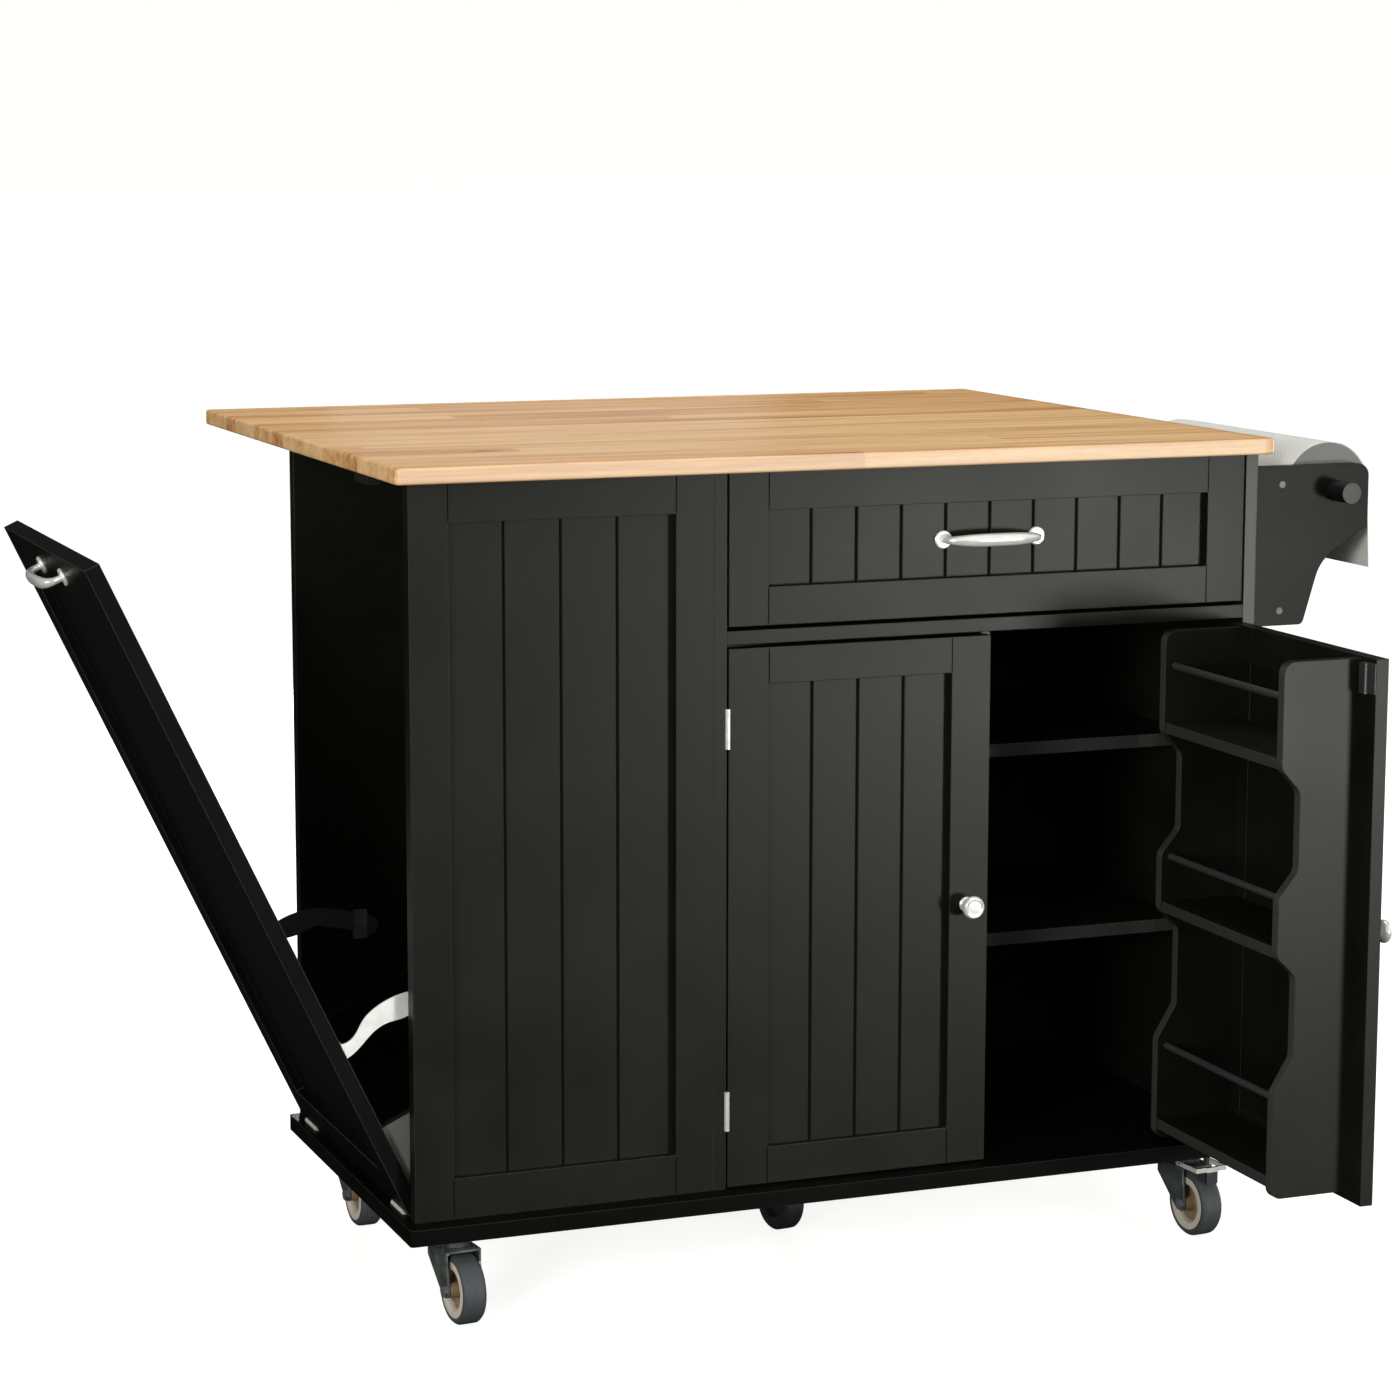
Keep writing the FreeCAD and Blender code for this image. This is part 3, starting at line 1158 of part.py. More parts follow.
tail_flare = size("tail_flare", 4, "hanging paper's end, outwards")
tail_wrap = size("tail_wrap", 70, "hanging paper over the roll, degrees")

bracket_x = side_outside
bracket_points = [
    (ZERO, bracket_low), (bracket_low_wide, bracket_low), (bracket_neck_x, bracket_neck_z),
    (bracket_wide, bracket_lobe), (bracket_wide, bracket_high), (ZERO, bracket_high),
]
bracket_radii = (bracket_small_round, bracket_bend_round, bracket_small_round, bracket_round)
bracket_rounds = list(zip(bracket_points[1:5], bracket_radii))
bracket_ys = (front_in, front_in + bracket_thick + bracket_span)
rod_axis = (bracket_x + roll_out, roll_high)
screws = []
brackets = []
for i, y in enumerate(bracket_ys):
    board = slab(f"bracket_{i}", "XZ_Plane", bracket_points, bracket_thick, bracket_rounds)
    board = moved(f"bracket_{i}_placed", [board], bracket_x, y, ZERO)
    hole = peg(f"bracket_{i}_hole", "y", (rod_axis[0], y, rod_axis[1]), rod_radius + pin_fit, bracket_thick)
    tools = [hole]
    for level, z in (("high", holder_screw_high), ("low", holder_screw_low)):
        spot = (bracket_x + holder_screw_x, y if i == 0 else y + bracket_thick, z)
        name = f"holder_screw_{level}_{i}"
        screws.append(screw(name, "y", spot, screw_long, 1 if i == 0 else -1))
        tools.append(screw(name + "_hole", "y", spot, screw_long, 1 if i == 0 else -1))
    brackets.append(cut(f"bracket_{i}_drilled", board, *tools))
node("roll_brackets", *brackets)

rails = []
rail_y = (bracket_ys[0] + bracket_thick, bracket_ys[1])
for level, z in (("high", holder_screw_high), ("low", holder_screw_low)):
    rail = block(
        f"holder_rail_{level}_blank", (bracket_x, bracket_x + holder_rail_wide), rail_y,
        (z - holder_rail_thick / 2, z + holder_rail_thick / 2))
    ends = []
    for i, y in enumerate(bracket_ys):
        spot = (bracket_x + holder_screw_x, y if i == 0 else y + bracket_thick, z)
        ends.append(screw(f"holder_rail_{level}_{i}_hole", "y", spot, screw_long, 1 if i == 0 else -1))
    rails.append(cut(f"holder_rail_{level}", rail, *ends))
node("roll_rails", *rails)

rod_y = (bracket_ys[0] - rod_past_front, bracket_ys[1] + bracket_thick + rod_past_back)
rod_start = (rod_axis[0], rod_y[0], rod_axis[1])
node("roll_rod", peg("roll_rod_turned", "y", rod_start, rod_radius, rod_y[1] - rod_y[0]))
roll_y = (rail_y[0] + roll_end_gap, rail_y[1] - roll_end_gap)
roll_long = roll_y[1] - roll_y[0]
bore = rod_radius + core_gap


def ring(name, inner, outer):
    start = (rod_axis[0], roll_y[0], rod_axis[1])
    full = peg(name + "_full", "y", start, outer, roll_long)
    return cut(name, full, peg(name + "_bore", "y", start, inner, roll_long))


node("paper_roll", ring("paper", bore + core_wall, roll_radius), ring("core", bore, bore + core_wall))


def paper_tail():
    """The loose end: a thin wall over the roll's right shoulder, then down with a slight flare."""
    def around(radius, degrees):
        angle = math.radians(degrees)
        return Vector(rod_axis[0].number + radius * math.cos(angle), 0, rod_axis[1].number + radius * math.sin(angle))

    inner = roll_radius.number + tail_gap.number
    outer = inner + tail_thick.number
    wrap = tail_wrap.number
    flare = Vector(tail_flare.number, 0, tail_low.number - rod_axis[1].number)
    down = Vector(0, 0, flare.z)

    def hang(start, reverse):
        curve = Part.BSplineCurve()
        tangents = (down, down + flare - down * 0.55)
        if reverse:
            curve.interpolate([start + flare, start],
                              InitialTangent=tangents[1] * -1, FinalTangent=tangents[0] * -1)
        else:
            curve.interpolate([start, start + flare], InitialTangent=tangents[0], FinalTangent=tangents[1])
        return curve.toShape()

    edges = [
        Part.Arc(around(outer, wrap), around(outer, wrap / 2), around(outer, 0)).toShape(),
        hang(around(outer, 0), False),
        Part.LineSegment(around(outer, 0) + flare, around(inner, 0) + flare).toShape(),
        hang(around(inner, 0), True),
        Part.Arc(around(inner, 0), around(inner, wrap / 2), around(inner, wrap)).toShape(),
        Part.LineSegment(around(inner, wrap), around(outer, wrap)).toShape(),
    ]
    solid = doc.addObject("Part::Feature", "tail_sheet")
    solid.Shape = Part.Face(Part.Wire(edges)).extrude(Vector(0, roll_long.number, 0))
    move_to(solid, ZERO, roll_y[0], ZERO)
    return solid


node("paper_tail", paper_tail())

# Casters

wheel_wide = size("wheel_wide", 76, "wheel, across")
tread_wide = size("tread_wide", 27, "wheel's tread")
tread_thick = size("tread_thick", 9, "tread, from the hub out")
tread_round = size("tread_round", 4, "tread's chamfer")
hub_wide = size("hub_wide", 34, "hub boss, end to end")
hub_boss = size("hub_boss", 9, "hub boss's radius")
hub_rim = size("hub_rim", 3, "hub's rim")
hub_web = size("hub_web", 7, "hub's web")
axle_radius = size("axle_radius", 4, "axle's radius")
fork_wide = size("fork_wide", 41, "fork, over its cheeks")
fork_steel = size("fork_steel", 2.5, "fork's sheet")
fork_high = size("fork_high", 81, "fork's top above the floor")
fork_half = size("fork_half", 26, "fork's cheeks, before and behind the swivel axis")
fork_eye = size("fork_eye", 8, "fork's round end about the axle")
fork_drop = size("fork_drop", 15, "straight part of the cheeks below the top")
trail = size("trail", 24, "wheel's axle behind the swivel axis")
plate_wide = size("plate_wide", 56, "mounting plate, along X and Y")
caster_plate_steel = size("caster_plate_steel", 2.5, "mounting plate")
head_wide = size("head_wide", 38, "swivel head, across")
race_gap = size("race_gap", 0.5, "swivel head above the fork")
king_pin = size("king_pin", 5, "king pin's radius")
king_head = size("king_head", 8, "king pin's head, radius")
king_head_thick = size("king_head_thick", 3, "king pin's head")
king_gap = size("king_gap", 0.4, "king pin's head below the fork's top")
plate_hole_in = size("plate_hole_in", 7.5, "plate screws from the plate's edges")
plate_screw_long = size("plate_screw_long", 14, "plate screws")
plate_screw_head = size("plate_screw_head", 4.2, "plate screw head's radius")
plate_screw_head_thick = size("plate_screw_head_thick", 2.2, "plate screw head")
caster_left = size("caster_left", 62.5, "left swivel axes from the base board's left end")
caster_right = size("caster_right", 75, "right swivel axes from the base board's right end")
caster_front = size("caster_front", 47, "front swivel axes from the base board's front")
caster_back = size("caster_back", 70, "rear swivel axes from the base board's back")
caster_middle_x = size("caster_middle_x", 512, "middle swivel axis from the base board's left end")
caster_middle_y = size("caster_middle_y", 241, "middle swivel axis from the base board's front")
turn_front_left = size("turn_front_left", 5, "how far the front left caster is swivelled, degrees")
turn_front_right = size("turn_front_right", 5, "how far the front right caster is swivelled")
turn_back_left = size("turn_back_left", 2, "how far the rear left caster is swivelled")
turn_back_right = size("turn_back_right", 5, "how far the rear right caster is swivelled")
turn_middle = size("turn_middle", 6, "how far the middle caster is swivelled")
pedal_steel = size("pedal_steel", 2, "brake pedal's strap")
pedal_tall = size("pedal_tall", 5.5, "brake pedal's strap, up and down")
pedal_back = size("pedal_back", 12, "pedal's rear end behind the swivel axis")
pedal_front = size("pedal_front", 55, "pedal's front bar behind the swivel axis")
pedal_y = size("pedal_y", 19, "pedal's pivot behind the swivel axis")
pedal_up = size("pedal_up", 4, "pedal's pivot above the fork")
pedal_pin = size("pedal_pin", 1.6, "pedal pin's radius")
pedal_gap = size("pedal_gap", 0.3, "pedal beside its ears")
ear_thick = size("ear_thick", 2.5, "fork's ears that carry the pedal")
ear_long = size("ear_long", 8, "fork's ears, along the fork")
shoe_wide = size("shoe_wide", 15, "brake shoe")
shoe_thick = size("shoe_thick", 4, "brake shoe, along the fork")
shoe_low = size("shoe_low", 13, "brake shoe's lower edge below the fork's top")

caster_spots = {
    "front_left": (caster_left, caster_front, turn_front_left),
    "front_right": (base_long - caster_right, caster_front, turn_front_right),
    "back_left": (caster_left, base_deep - caster_back, turn_back_left),
    "back_right": (base_long - caster_right, base_deep - caster_back, turn_back_right),
    "middle": (caster_middle_x, caster_middle_y, turn_middle),
}
BRAKED = ("front_right", "back_right")
wheel_radius = wheel_wide / 2
plate_z = (caster_tall - caster_plate_steel, caster_tall)
caster_plates = []
plate_screws = []
for spot, (x, y, turn) in caster_spots.items():
    half = plate_wide / 2
    plate = block(f"{spot}_plate_blank", (x - half, x + half), (y - half, y + half), plate_z)
    head_long = plate_z[0] - fork_high - race_gap
    head_foot = head_wide / 2 - race_gap * 4
    head = cone(f"{spot}_head", "z", (x, y, fork_high + race_gap), head_foot, head_wide / 2, head_long)
    pin_low = fork_high - fork_steel - king_gap
    pin = peg(f"{spot}_king_pin", "z", (x, y, pin_low), king_pin, plate_z[1] - pin_low)
    pin_head = peg(f"{spot}_king_head", "z", (x, y, pin_low - king_head_thick), king_head, king_head_thick)
    holes = []
    for i, (sx, sy) in enumerate(((-1, -1), (1, -1), (1, 1), (-1, 1))):
        hole_x = x + (half - plate_hole_in) * sx
        hole_y = y + (half - plate_hole_in) * sy
        start = (hole_x, hole_y, plate_z[0] - plate_screw_head_thick)
        holes.append(peg(f"{spot}_hole_{i}", "z", start, screw_wide / 2 + pin_loose, plate_screw_long))
        shank = peg(f"{spot}_screw_{i}_shank", "z", start, screw_wide / 2, plate_screw_long)
        cap = peg(f"{spot}_screw_{i}_cap", "z", start, plate_screw_head, plate_screw_head_thick)
        plate_screws.append(join(f"{spot}_screw_{i}", shank, cap))
        base_rooms.append(peg(f"{spot}_base_hole_{i}", "z", start, screw_wide / 2, plate_screw_long))
    drilled = cut(f"{spot}_plate_drilled", plate, *holes)
    caster_plates.append(join(f"{spot}_plate", drilled, head, pin, pin_head))
node("caster_plates", *caster_plates)
node("screws", *screws, *plate_screws)


def swivelled(name, pieces, x, y, turn):
    """The pieces of a caster, built about the swivel axis, at their place under the base board."""
    at_rest = [turned(f"{name}_{i}_swivelled", [p], "z", turn, (ZERO, ZERO, ZERO))
               for i, p in enumerate(pieces)]
    return [moved(f"{name}_{i}_placed", [p], x, y, ZERO) for i, p in enumerate(at_rest)]


def fork(name, braked):
    """An inverted U of sheet steel: a top with the king pin's hole, and two cheeks that carry the axle."""
    axle_y, axle_z = -trail, wheel_radius
    shoulder = fork_high - fork_drop
    points = [
        (fork_half, fork_high), (-fork_half, fork_high), (-fork_half, shoulder), (axle_y - fork_eye, axle_z),
        (axle_y - fork_eye, axle_z - fork_eye), (axle_y + fork_eye, axle_z - fork_eye), (fork_half, shoulder),
    ]
    rounds = [(points[4], fork_eye * 0.95), (points[5], fork_eye * 0.6)]
    half = fork_wide / 2
    cheeks = []
    for i, start in enumerate((-half, half - fork_steel)):
        cheek = slab(f"{name}_cheek_{i}", "YZ_Plane", points, fork_steel, rounds)
        cheeks.append(moved(f"{name}_cheek_{i}_placed", [cheek], start, ZERO, ZERO))
    top = block(f"{name}_top", (-half, half), (-fork_half, fork_half), (fork_high - fork_steel, fork_high))
    axle_start = (-half - fork_steel, axle_y, axle_z)
    axle = peg(f"{name}_axle", "x", axle_start, axle_radius, fork_wide + fork_steel * 2)
    heads = [peg(f"{name}_axle_head_{i}", "x", (start, axle_y, axle_z), axle_radius * 1.6, fork_steel)
             for i, start in enumerate((-half - fork_steel, half))]
    pieces = [top, *cheeks, axle, *heads]
    if braked:
        ear_out = half - pedal_steel - pedal_gap
        pivot_z = fork_high + pedal_up
        for i, (ear, stub) in enumerate(((-ear_out, -half), (ear_out - ear_thick, ear_out))):
            ear_y = (-pedal_y - ear_long / 2, -pedal_y + ear_long / 2)
            ear_z = (fork_high - fork_steel, pivot_z + pedal_pin * 2)
            pieces.append(block(f"{name}_ear_{i}", (ear, ear + ear_thick), ear_y, ear_z))
            pieces.append(peg(f"{name}_stub_{i}", "x", (stub, -pedal_y, pivot_z), pedal_pin, half - ear_out))
    whole = join(f"{name}_whole", *pieces)
    hole = peg(f"{name}_king_hole", "z", (ZERO, ZERO, fork_high - fork_steel), king_pin + pin_fit, fork_steel)
    return cut(f"{name}_drilled", whole, hole)


def wheel(name):
    """Tread and hub, turned about the axle."""
    radius, half = wheel_radius, tread_wide / 2
    seat = radius - tread_thick
    tread = [
        (seat, -half), (radius - tread_round, -half), (radius, -half + tread_round), (radius, half - tread_round),
        (radius - tread_round, half), (seat, half),
    ]
    rim, web, boss = seat - hub_rim, hub_web / 2, hub_wide / 2
    bore_radius = axle_radius + pin_fit
    hub = [
        (bore_radius, -boss), (hub_boss, -boss), (hub_boss, -web), (rim, -web), (rim, -half), (seat, -half),
        (seat, half), (rim, half), (rim, web), (hub_boss, web), (hub_boss, boss), (bore_radius, boss),
    ]
    parts = [lathe(f"{name}_tread", tread), lathe(f"{name}_hub", hub)]
    laid = [turned(f"{name}_laid_{i}", [p], "y", 90, (ZERO, ZERO, ZERO)) for i, p in enumerate(parts)]
    return [moved(f"{name}_up_{i}", [p], ZERO, -trail, wheel_radius) for i, p in enumerate(laid)]


def pedal(name):
    """A U of strap steel on the fork's ears, with a shoe on its front bar that meets the tread."""
    half = fork_wide / 2
    z = (fork_high + pedal_up - pedal_tall / 2, fork_high + pedal_up + pedal_tall / 2)
    arms = [block(f"{name}_arm_{i}", x, (-pedal_front, -pedal_back), z)
            for i, x in enumerate(((-half, -half + pedal_steel), (half - pedal_steel, half)))]
    bar = block(f"{name}_bar", (-half, half), (-pedal_front, -pedal_front + pedal_steel), z)
    shoe = block(f"{name}_shoe", (-shoe_wide / 2, shoe_wide / 2),
                 (-pedal_front - shoe_thick / 2, -pedal_front + shoe_thick / 2),
                 (fork_high - shoe_low, z[1]))
    bore_start = (-half, -pedal_y, fork_high + pedal_up)
    bore_hole = peg(f"{name}_bore", "x", bore_start, pedal_pin + pin_fit, fork_wide)
    return cut(f"{name}_drilled", join(f"{name}_whole", *arms, bar, shoe), bore_hole)


for spot, (x, y, turn) in caster_spots.items():
    braked = spot in BRAKED
    node(f"{spot}_fork", *swivelled(f"{spot}_fork", [fork(f"{spot}_fork", braked)], x, y, turn))
    node(f"{spot}_wheel", *swivelled(f"{spot}_wheel", wheel(f"{spot}_wheel"), x, y, turn))
    if braked:
        node(f"{spot}_brake_pedal", *swivelled(f"{spot}_pedal", [pedal(f"{spot}_pedal")], x, y, turn))

# Panels that take the holes and slots of what they carry

divider = block("divider_blank", (divider_left, divider_right), (front_in, back_inside), (low, high))
node("divider_panel", cut("divider", divider, *pin_holes["divider"], *panel_rooms["left"]))
side_board = block("side_blank", (side_inside, side_outside), (front_in, base_deep), (low, high))
node("right_side_panel", cut("side", side_board, *pin_holes["side"], *panel_rooms["right"]))
node("back_panel", block("back_board", (left_in, side_inside), (back_inside, base_deep), (low, high)))
rail_board_y = (front_in, front_in + rail_deep)
node("drawer_rail", block("rail_board", (divider_right, side_inside), rail_board_y, (rail_low, rail_high)))
node("base_board", cut("base_drilled", base_plank, *base_rooms))
node("hinge_plates", *fixed_leaves, *bin_fixed_leaves)

# The origin: on the floor, under the middle of the whole cart's box

doc.recompute()
failed = [o.Name for o in doc.Objects if "Invalid" in o.State or "Error" in o.State]
if failed:
    raise RuntimeError("objects that failed: " + ", ".join(failed))
whole = [finished.Shape.optimalBoundingBox(False, False) for finished in nodes]
origin_x = (min(b.XMin for b in whole) + max(b.XMax for b in whole)) / 2
origin_y = (min(b.YMin for b in whole) + max(b.YMax for b in whole)) / 2
shift_x = size("shift_x", -origin_x, "worked out from the finished nodes: origin under their middle")
shift_y = size("shift_y", -origin_y, "worked out from the finished nodes: origin under their middle")
for finished in nodes:
    move_to(finished, shift_x, shift_y, ZERO)
doc.recompute()

os.makedirs("parts", exist_ok=True)
for thing in doc.Objects:
    if "Invalid" in thing.State or "Error" in thing.State:
        raise RuntimeError(f"{thing.Name} failed: {thing.State}")
for finished in nodes:
    if finished.Shape.isNull() or not finished.Shape.isValid():
        raise RuntimeError(f"{finished.Label} has no valid shape")
for finished in nodes:
    finished.Shape.exportStep(f"parts/{finished.Label}.step")
print(f"{len(nodes)} nodes, origin shifted by {-origin_x:.3f}, {-origin_y:.3f}")
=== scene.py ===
"""Kitchen island cart in black lacquered board with a rubberwood drop-leaf top, on five swivel casters."""

import math

import bpy
import numpy as np
from mathutils import Matrix, Vector


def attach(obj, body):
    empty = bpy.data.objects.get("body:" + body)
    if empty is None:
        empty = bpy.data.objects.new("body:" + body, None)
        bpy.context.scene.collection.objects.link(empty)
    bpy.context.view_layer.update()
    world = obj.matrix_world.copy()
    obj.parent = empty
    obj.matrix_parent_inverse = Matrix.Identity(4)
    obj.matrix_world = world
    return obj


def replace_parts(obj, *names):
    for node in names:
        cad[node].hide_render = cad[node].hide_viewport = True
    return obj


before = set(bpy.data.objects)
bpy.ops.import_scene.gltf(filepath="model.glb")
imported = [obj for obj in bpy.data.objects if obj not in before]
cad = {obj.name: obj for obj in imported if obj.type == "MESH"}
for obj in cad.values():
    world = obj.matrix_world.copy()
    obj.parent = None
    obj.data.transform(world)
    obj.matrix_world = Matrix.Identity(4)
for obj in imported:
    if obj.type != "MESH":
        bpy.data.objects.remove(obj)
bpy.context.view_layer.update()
MM = 0.001

# The carcass and its doors: MDF boards, sprayed with a satin black lacquer.
# The lacquer has a faint orange-peel ripple, and its arrises are rounded by a little sanding and carry a painted
# highlight.
# Some boards are a little glossier and carry painted light on the faces that look one way; the grooves carry painted
# shade, the bin door and the base are darkened as painted shade, and the paper holder's brackets are a darker, duller
# black.

PLAIN_BOARDS = (
    "bin_front_frame", "back_panel", "divider_panel", "drawer_rail", "drawer_front_frame", "drawer_box",
    "left_door_frame", "right_door_frame", "right_door_panel",
)
GROOVED_BOARDS = ("bin_front_panel", "drawer_front_panel", "left_door_panel")
HOLDER_BOARDS = ("roll_brackets", "roll_rails")
BIN_DOOR_BOARDS = ("bin_door_frame", "bin_door_panel")
TO_FRONT, TO_LEFT = (0, -1, 0), (-1, 0, 0)
# For each board with painted light on the faces that look one way: its gloss, that way, and the painted colour of those
# faces
LIT_EDGE_BOARDS = {
    "rack_sides": (0.175, TO_LEFT, "#383836"), "rack_shelves": (0.16, TO_LEFT, "#323230"),
    "shelves": (0.16, TO_FRONT, "#343432"), "bin_tray": (0.16, TO_FRONT, "#5E5E5B"),
    "right_side_panel": (0.18, TO_FRONT, "#484845"),
}
LACQUER_BLACK, LACQUER_WORN, LACQUER_GLOSS = "#0F0F0B", "#171712", 0.16
HOLDER_BLACK, HOLDER_WORN, HOLDER_GLOSS = "#0D0D0A", "#13130F", 0.1
# The bin door's black is darkened as painted shade, and its arrises take a brighter painted highlight
BIN_DOOR_SHADE_BLACK, BIN_DOOR_SHADE_WORN, BIN_DOOR_GLOSS, BIN_DOOR_ARRIS_HIGHLIGHT = "#060606", "#0A0A09", 0.1, "#666662"
# The base's black is darkened as painted shade at the bottom of the cart
BASE_SHADE_BLACK, BASE_SHADE_WORN, BASE_GLOSS = "#080807", "#0E0E0C", 0.04
# Painted shade, near black, at the bottoms of the grooves
GROOVE_PAINTED_SHADE = "#010101"
GROOVE_PLACE, GROOVE_HALF = -223.9 * MM, 1.2 * MM
HAND_WIDTH, RIPPLE, DUST_SPECK = 1 / 9.0, 5 * MM, 1 / 900.0
ORANGE_PEEL = 0.03 * MM
ARRIS = 1.3 * MM
# Colour of the painted highlight along the lacquer's arrises, and the tint of the lacquer's reflections
ARRIS_PAINTED_HIGHLIGHT, SHEEN_TINT = "#454542", "#F7F8F0"


def linear(text):
    """An sRGB hex colour as linear red, green, blue and 1."""
    values = np.array([int(text[i : i + 2], 16) for i in (1, 3, 5)]) / 255
    values = np.where(values <= 0.04045, values / 12.92, ((values + 0.055) / 1.055) ** 2.4)
    return (*values.tolist(), 1.0)


def add(tree, kind, inputs=(), out=None, stops=(), **settings):
    """Adds a shader node and gives its named output, or its first one in use.

    inputs maps a socket's name or number to a value, a hex colour or an output, and a tuple fills them in order.
    stops are a ramp's positions and hex colours.
    """
    made = tree.nodes.new("ShaderNode" + kind)
    for key, value in settings.items():
        setattr(made, key, value)
    for key, value in (inputs if isinstance(inputs, dict) else dict(enumerate(inputs))).items():
        if isinstance(value, bpy.types.NodeSocket):
            tree.links.new(value, made.inputs[key])
        else:
            made.inputs[key].default_value = linear(value) if isinstance(value, str) else value
    if stops:
        elements = made.color_ramp.elements
        elements.remove(elements[1])
        elements[0].position, elements[0].color = stops[0][0], linear(stops[0][1])
        for position, text in stops[1:]:
            elements.new(position).color = linear(text)
    if out == "all":
        return made.outputs
    return made.outputs[out] if out else next((x for x in made.outputs if x.enabled), None)


def material(name):
    """A new material's node tree and the place on the piece, in metres."""
    made = bpy.data.materials.new(name)
    made.use_nodes = True
    made.node_tree.nodes.clear()
    return made, made.node_tree, add(made.node_tree, "TexCoord", out="Object")


def finish(made, shader):
    """Ends a material with its shader."""
    add(made.node_tree, "OutputMaterial", {"Surface": shader})
    return made


def cover(piece, made):
    """Gives a CAD node or a piece one material."""
    piece = cad[piece] if isinstance(piece, str) else piece
    piece.data.materials.clear()
    piece.data.materials.append(made)


def facing(tree, colour, direction, other):
    """Paints light or shade: mixes a colour to another one as the cosine between the face and a direction of the piece
    goes from 0.5 to 0.9.

    Only the cart's front half is changed.
    """
    place = add(tree, "TexCoord", out="Object")
    front_half = add(tree, "Math", (add(tree, "SeparateXYZ", (place,), out="Y"), 0.0), operation="LESS_THAN")
    cosine = add(tree, "VectorMath", (add(tree, "TexCoord", out="Normal"), direction), operation="DOT_PRODUCT")
    share = add(tree, "MapRange", {"Value": cosine, "From Min": 0.5, "From Max": 0.9, "To Max": front_half})
    return add(tree, "Mix", {"Factor": share, "A": colour, "B": other}, data_type="RGBA")


def lacquer(name, black, worn, gloss, arris_highlight_colour=ARRIS_PAINTED_HIGHLIGHT, edges=None, shaded_grooves=None):
    """Satin lacquer on MDF: tone and roughness drift over a hand's width, and a ripple of a few millimetres.

    It is painted paler where an arris turns from its face, a painted highlight. edges is a direction and the colour of
    the painted light on the faces that look along it; shaded_grooves is the middle and half the depth along Y, in
    metres, of the layer in which the grooves get a painted shade of near black.
    """
    made, tree, place = material(name)
    drift = add(tree, "TexNoise", {"Vector": place, "Scale": 1 / HAND_WIDTH, "Detail": 3.0})
    ripple = add(tree, "TexNoise", {"Vector": place, "Scale": 1 / RIPPLE, "Detail": 2.0})
    dust = add(tree, "TexNoise", {"Vector": place, "Scale": 1 / DUST_SPECK, "Detail": 1.0})
    specks = add(tree, "MapRange", {"Value": dust, "From Min": 0.72, "From Max": 0.8})
    relief = add(tree, "Math", (ripple, specks), operation="ADD")
    soft = add(tree, "Bevel", {"Radius": ARRIS}, samples=6)
    colour = add(tree, "ValToRGB", {"Fac": drift}, stops=((0.3, black), (0.75, worn)))
    roughness = add(tree, "MapRange", {"Value": drift, "To Min": 0.34, "To Max": 0.42})
    if edges:
        # Painted light on the faces that look along the given direction
        colour = facing(tree, colour, *edges)
    # Painted highlight: the colour turns paler where an arris turns from its face
    flat = add(tree, "NewGeometry", out="True Normal")
    turned_by = add(tree, "VectorMath", (soft, flat), operation="DOT_PRODUCT")
    arris_highlight = add(tree, "MapRange", {
        "Value": turned_by, "From Min": 0.8, "From Max": 0.97, "To Min": 0.6, "To Max": 0.0,
    })
    colour = add(tree, "Mix", {"Factor": arris_highlight, "A": colour, "B": arris_highlight_colour}, data_type="RGBA")
    # Painted shade: the layer of the grooves turns near black, and rougher
    if shaded_grooves:
        depth = add(tree, "SeparateXYZ", (place,), out="Y")
        groove_shade = add(tree, "Math", (depth, *shaded_grooves), operation="COMPARE")
        colour = add(tree, "Mix", {"Factor": groove_shade, "A": colour, "B": GROOVE_PAINTED_SHADE}, data_type="RGBA")
        roughness = add(tree, "Math", (groove_shade, 0.5, roughness), operation="MULTIPLY_ADD")
    shader = add(tree, "BsdfPrincipled", {
        "Base Color": colour,
        "Roughness": roughness,
        "Specular IOR Level": gloss,
        "Specular Tint": SHEEN_TINT,
        "Normal": add(tree, "Bump", {"Height": relief, "Distance": ORANGE_PEEL, "Normal": soft}),
    })
    return finish(made, shader)


for boards, paint in (
    (PLAIN_BOARDS, lacquer("satin black lacquer on MDF", LACQUER_BLACK, LACQUER_WORN, LACQUER_GLOSS)),
    (HOLDER_BOARDS, lacquer("satin black lacquer on the holder", HOLDER_BLACK, HOLDER_WORN, HOLDER_GLOSS)),
    (GROOVED_BOARDS, lacquer("black lacquer on grooved board", LACQUER_BLACK, LACQUER_WORN, LACQUER_GLOSS,
                             shaded_grooves=(GROOVE_PLACE, GROOVE_HALF))),
    (BIN_DOOR_BOARDS, lacquer("black lacquer darkened as painted shade on the bin door", BIN_DOOR_SHADE_BLACK, BIN_DOOR_SHADE_WORN, BIN_DOOR_GLOSS,
                              BIN_DOOR_ARRIS_HIGHLIGHT)),
    (("base_board",), lacquer("black lacquer darkened as painted shade on the base", BASE_SHADE_BLACK, BASE_SHADE_WORN, BASE_GLOSS)),
):
    for board in boards:
        cover(board, paint)
for board, (gloss, direction, paler) in LIT_EDGE_BOARDS.items():
    lit_edge_lacquer = lacquer("black lacquer, thick on the edges of the " + board, LACQUER_BLACK, LACQUER_WORN, gloss,
                    edges=(direction, paler))
    cover(board, lit_edge_lacquer)

# The frames of the fronts and doors: stiles the full height and rails butted between them, glued and dowelled.
# The lacquer has sunk into each joint and left a hairline, which is drawn as a dark strip on the face.

BIN_TILT = math.radians(25.1)
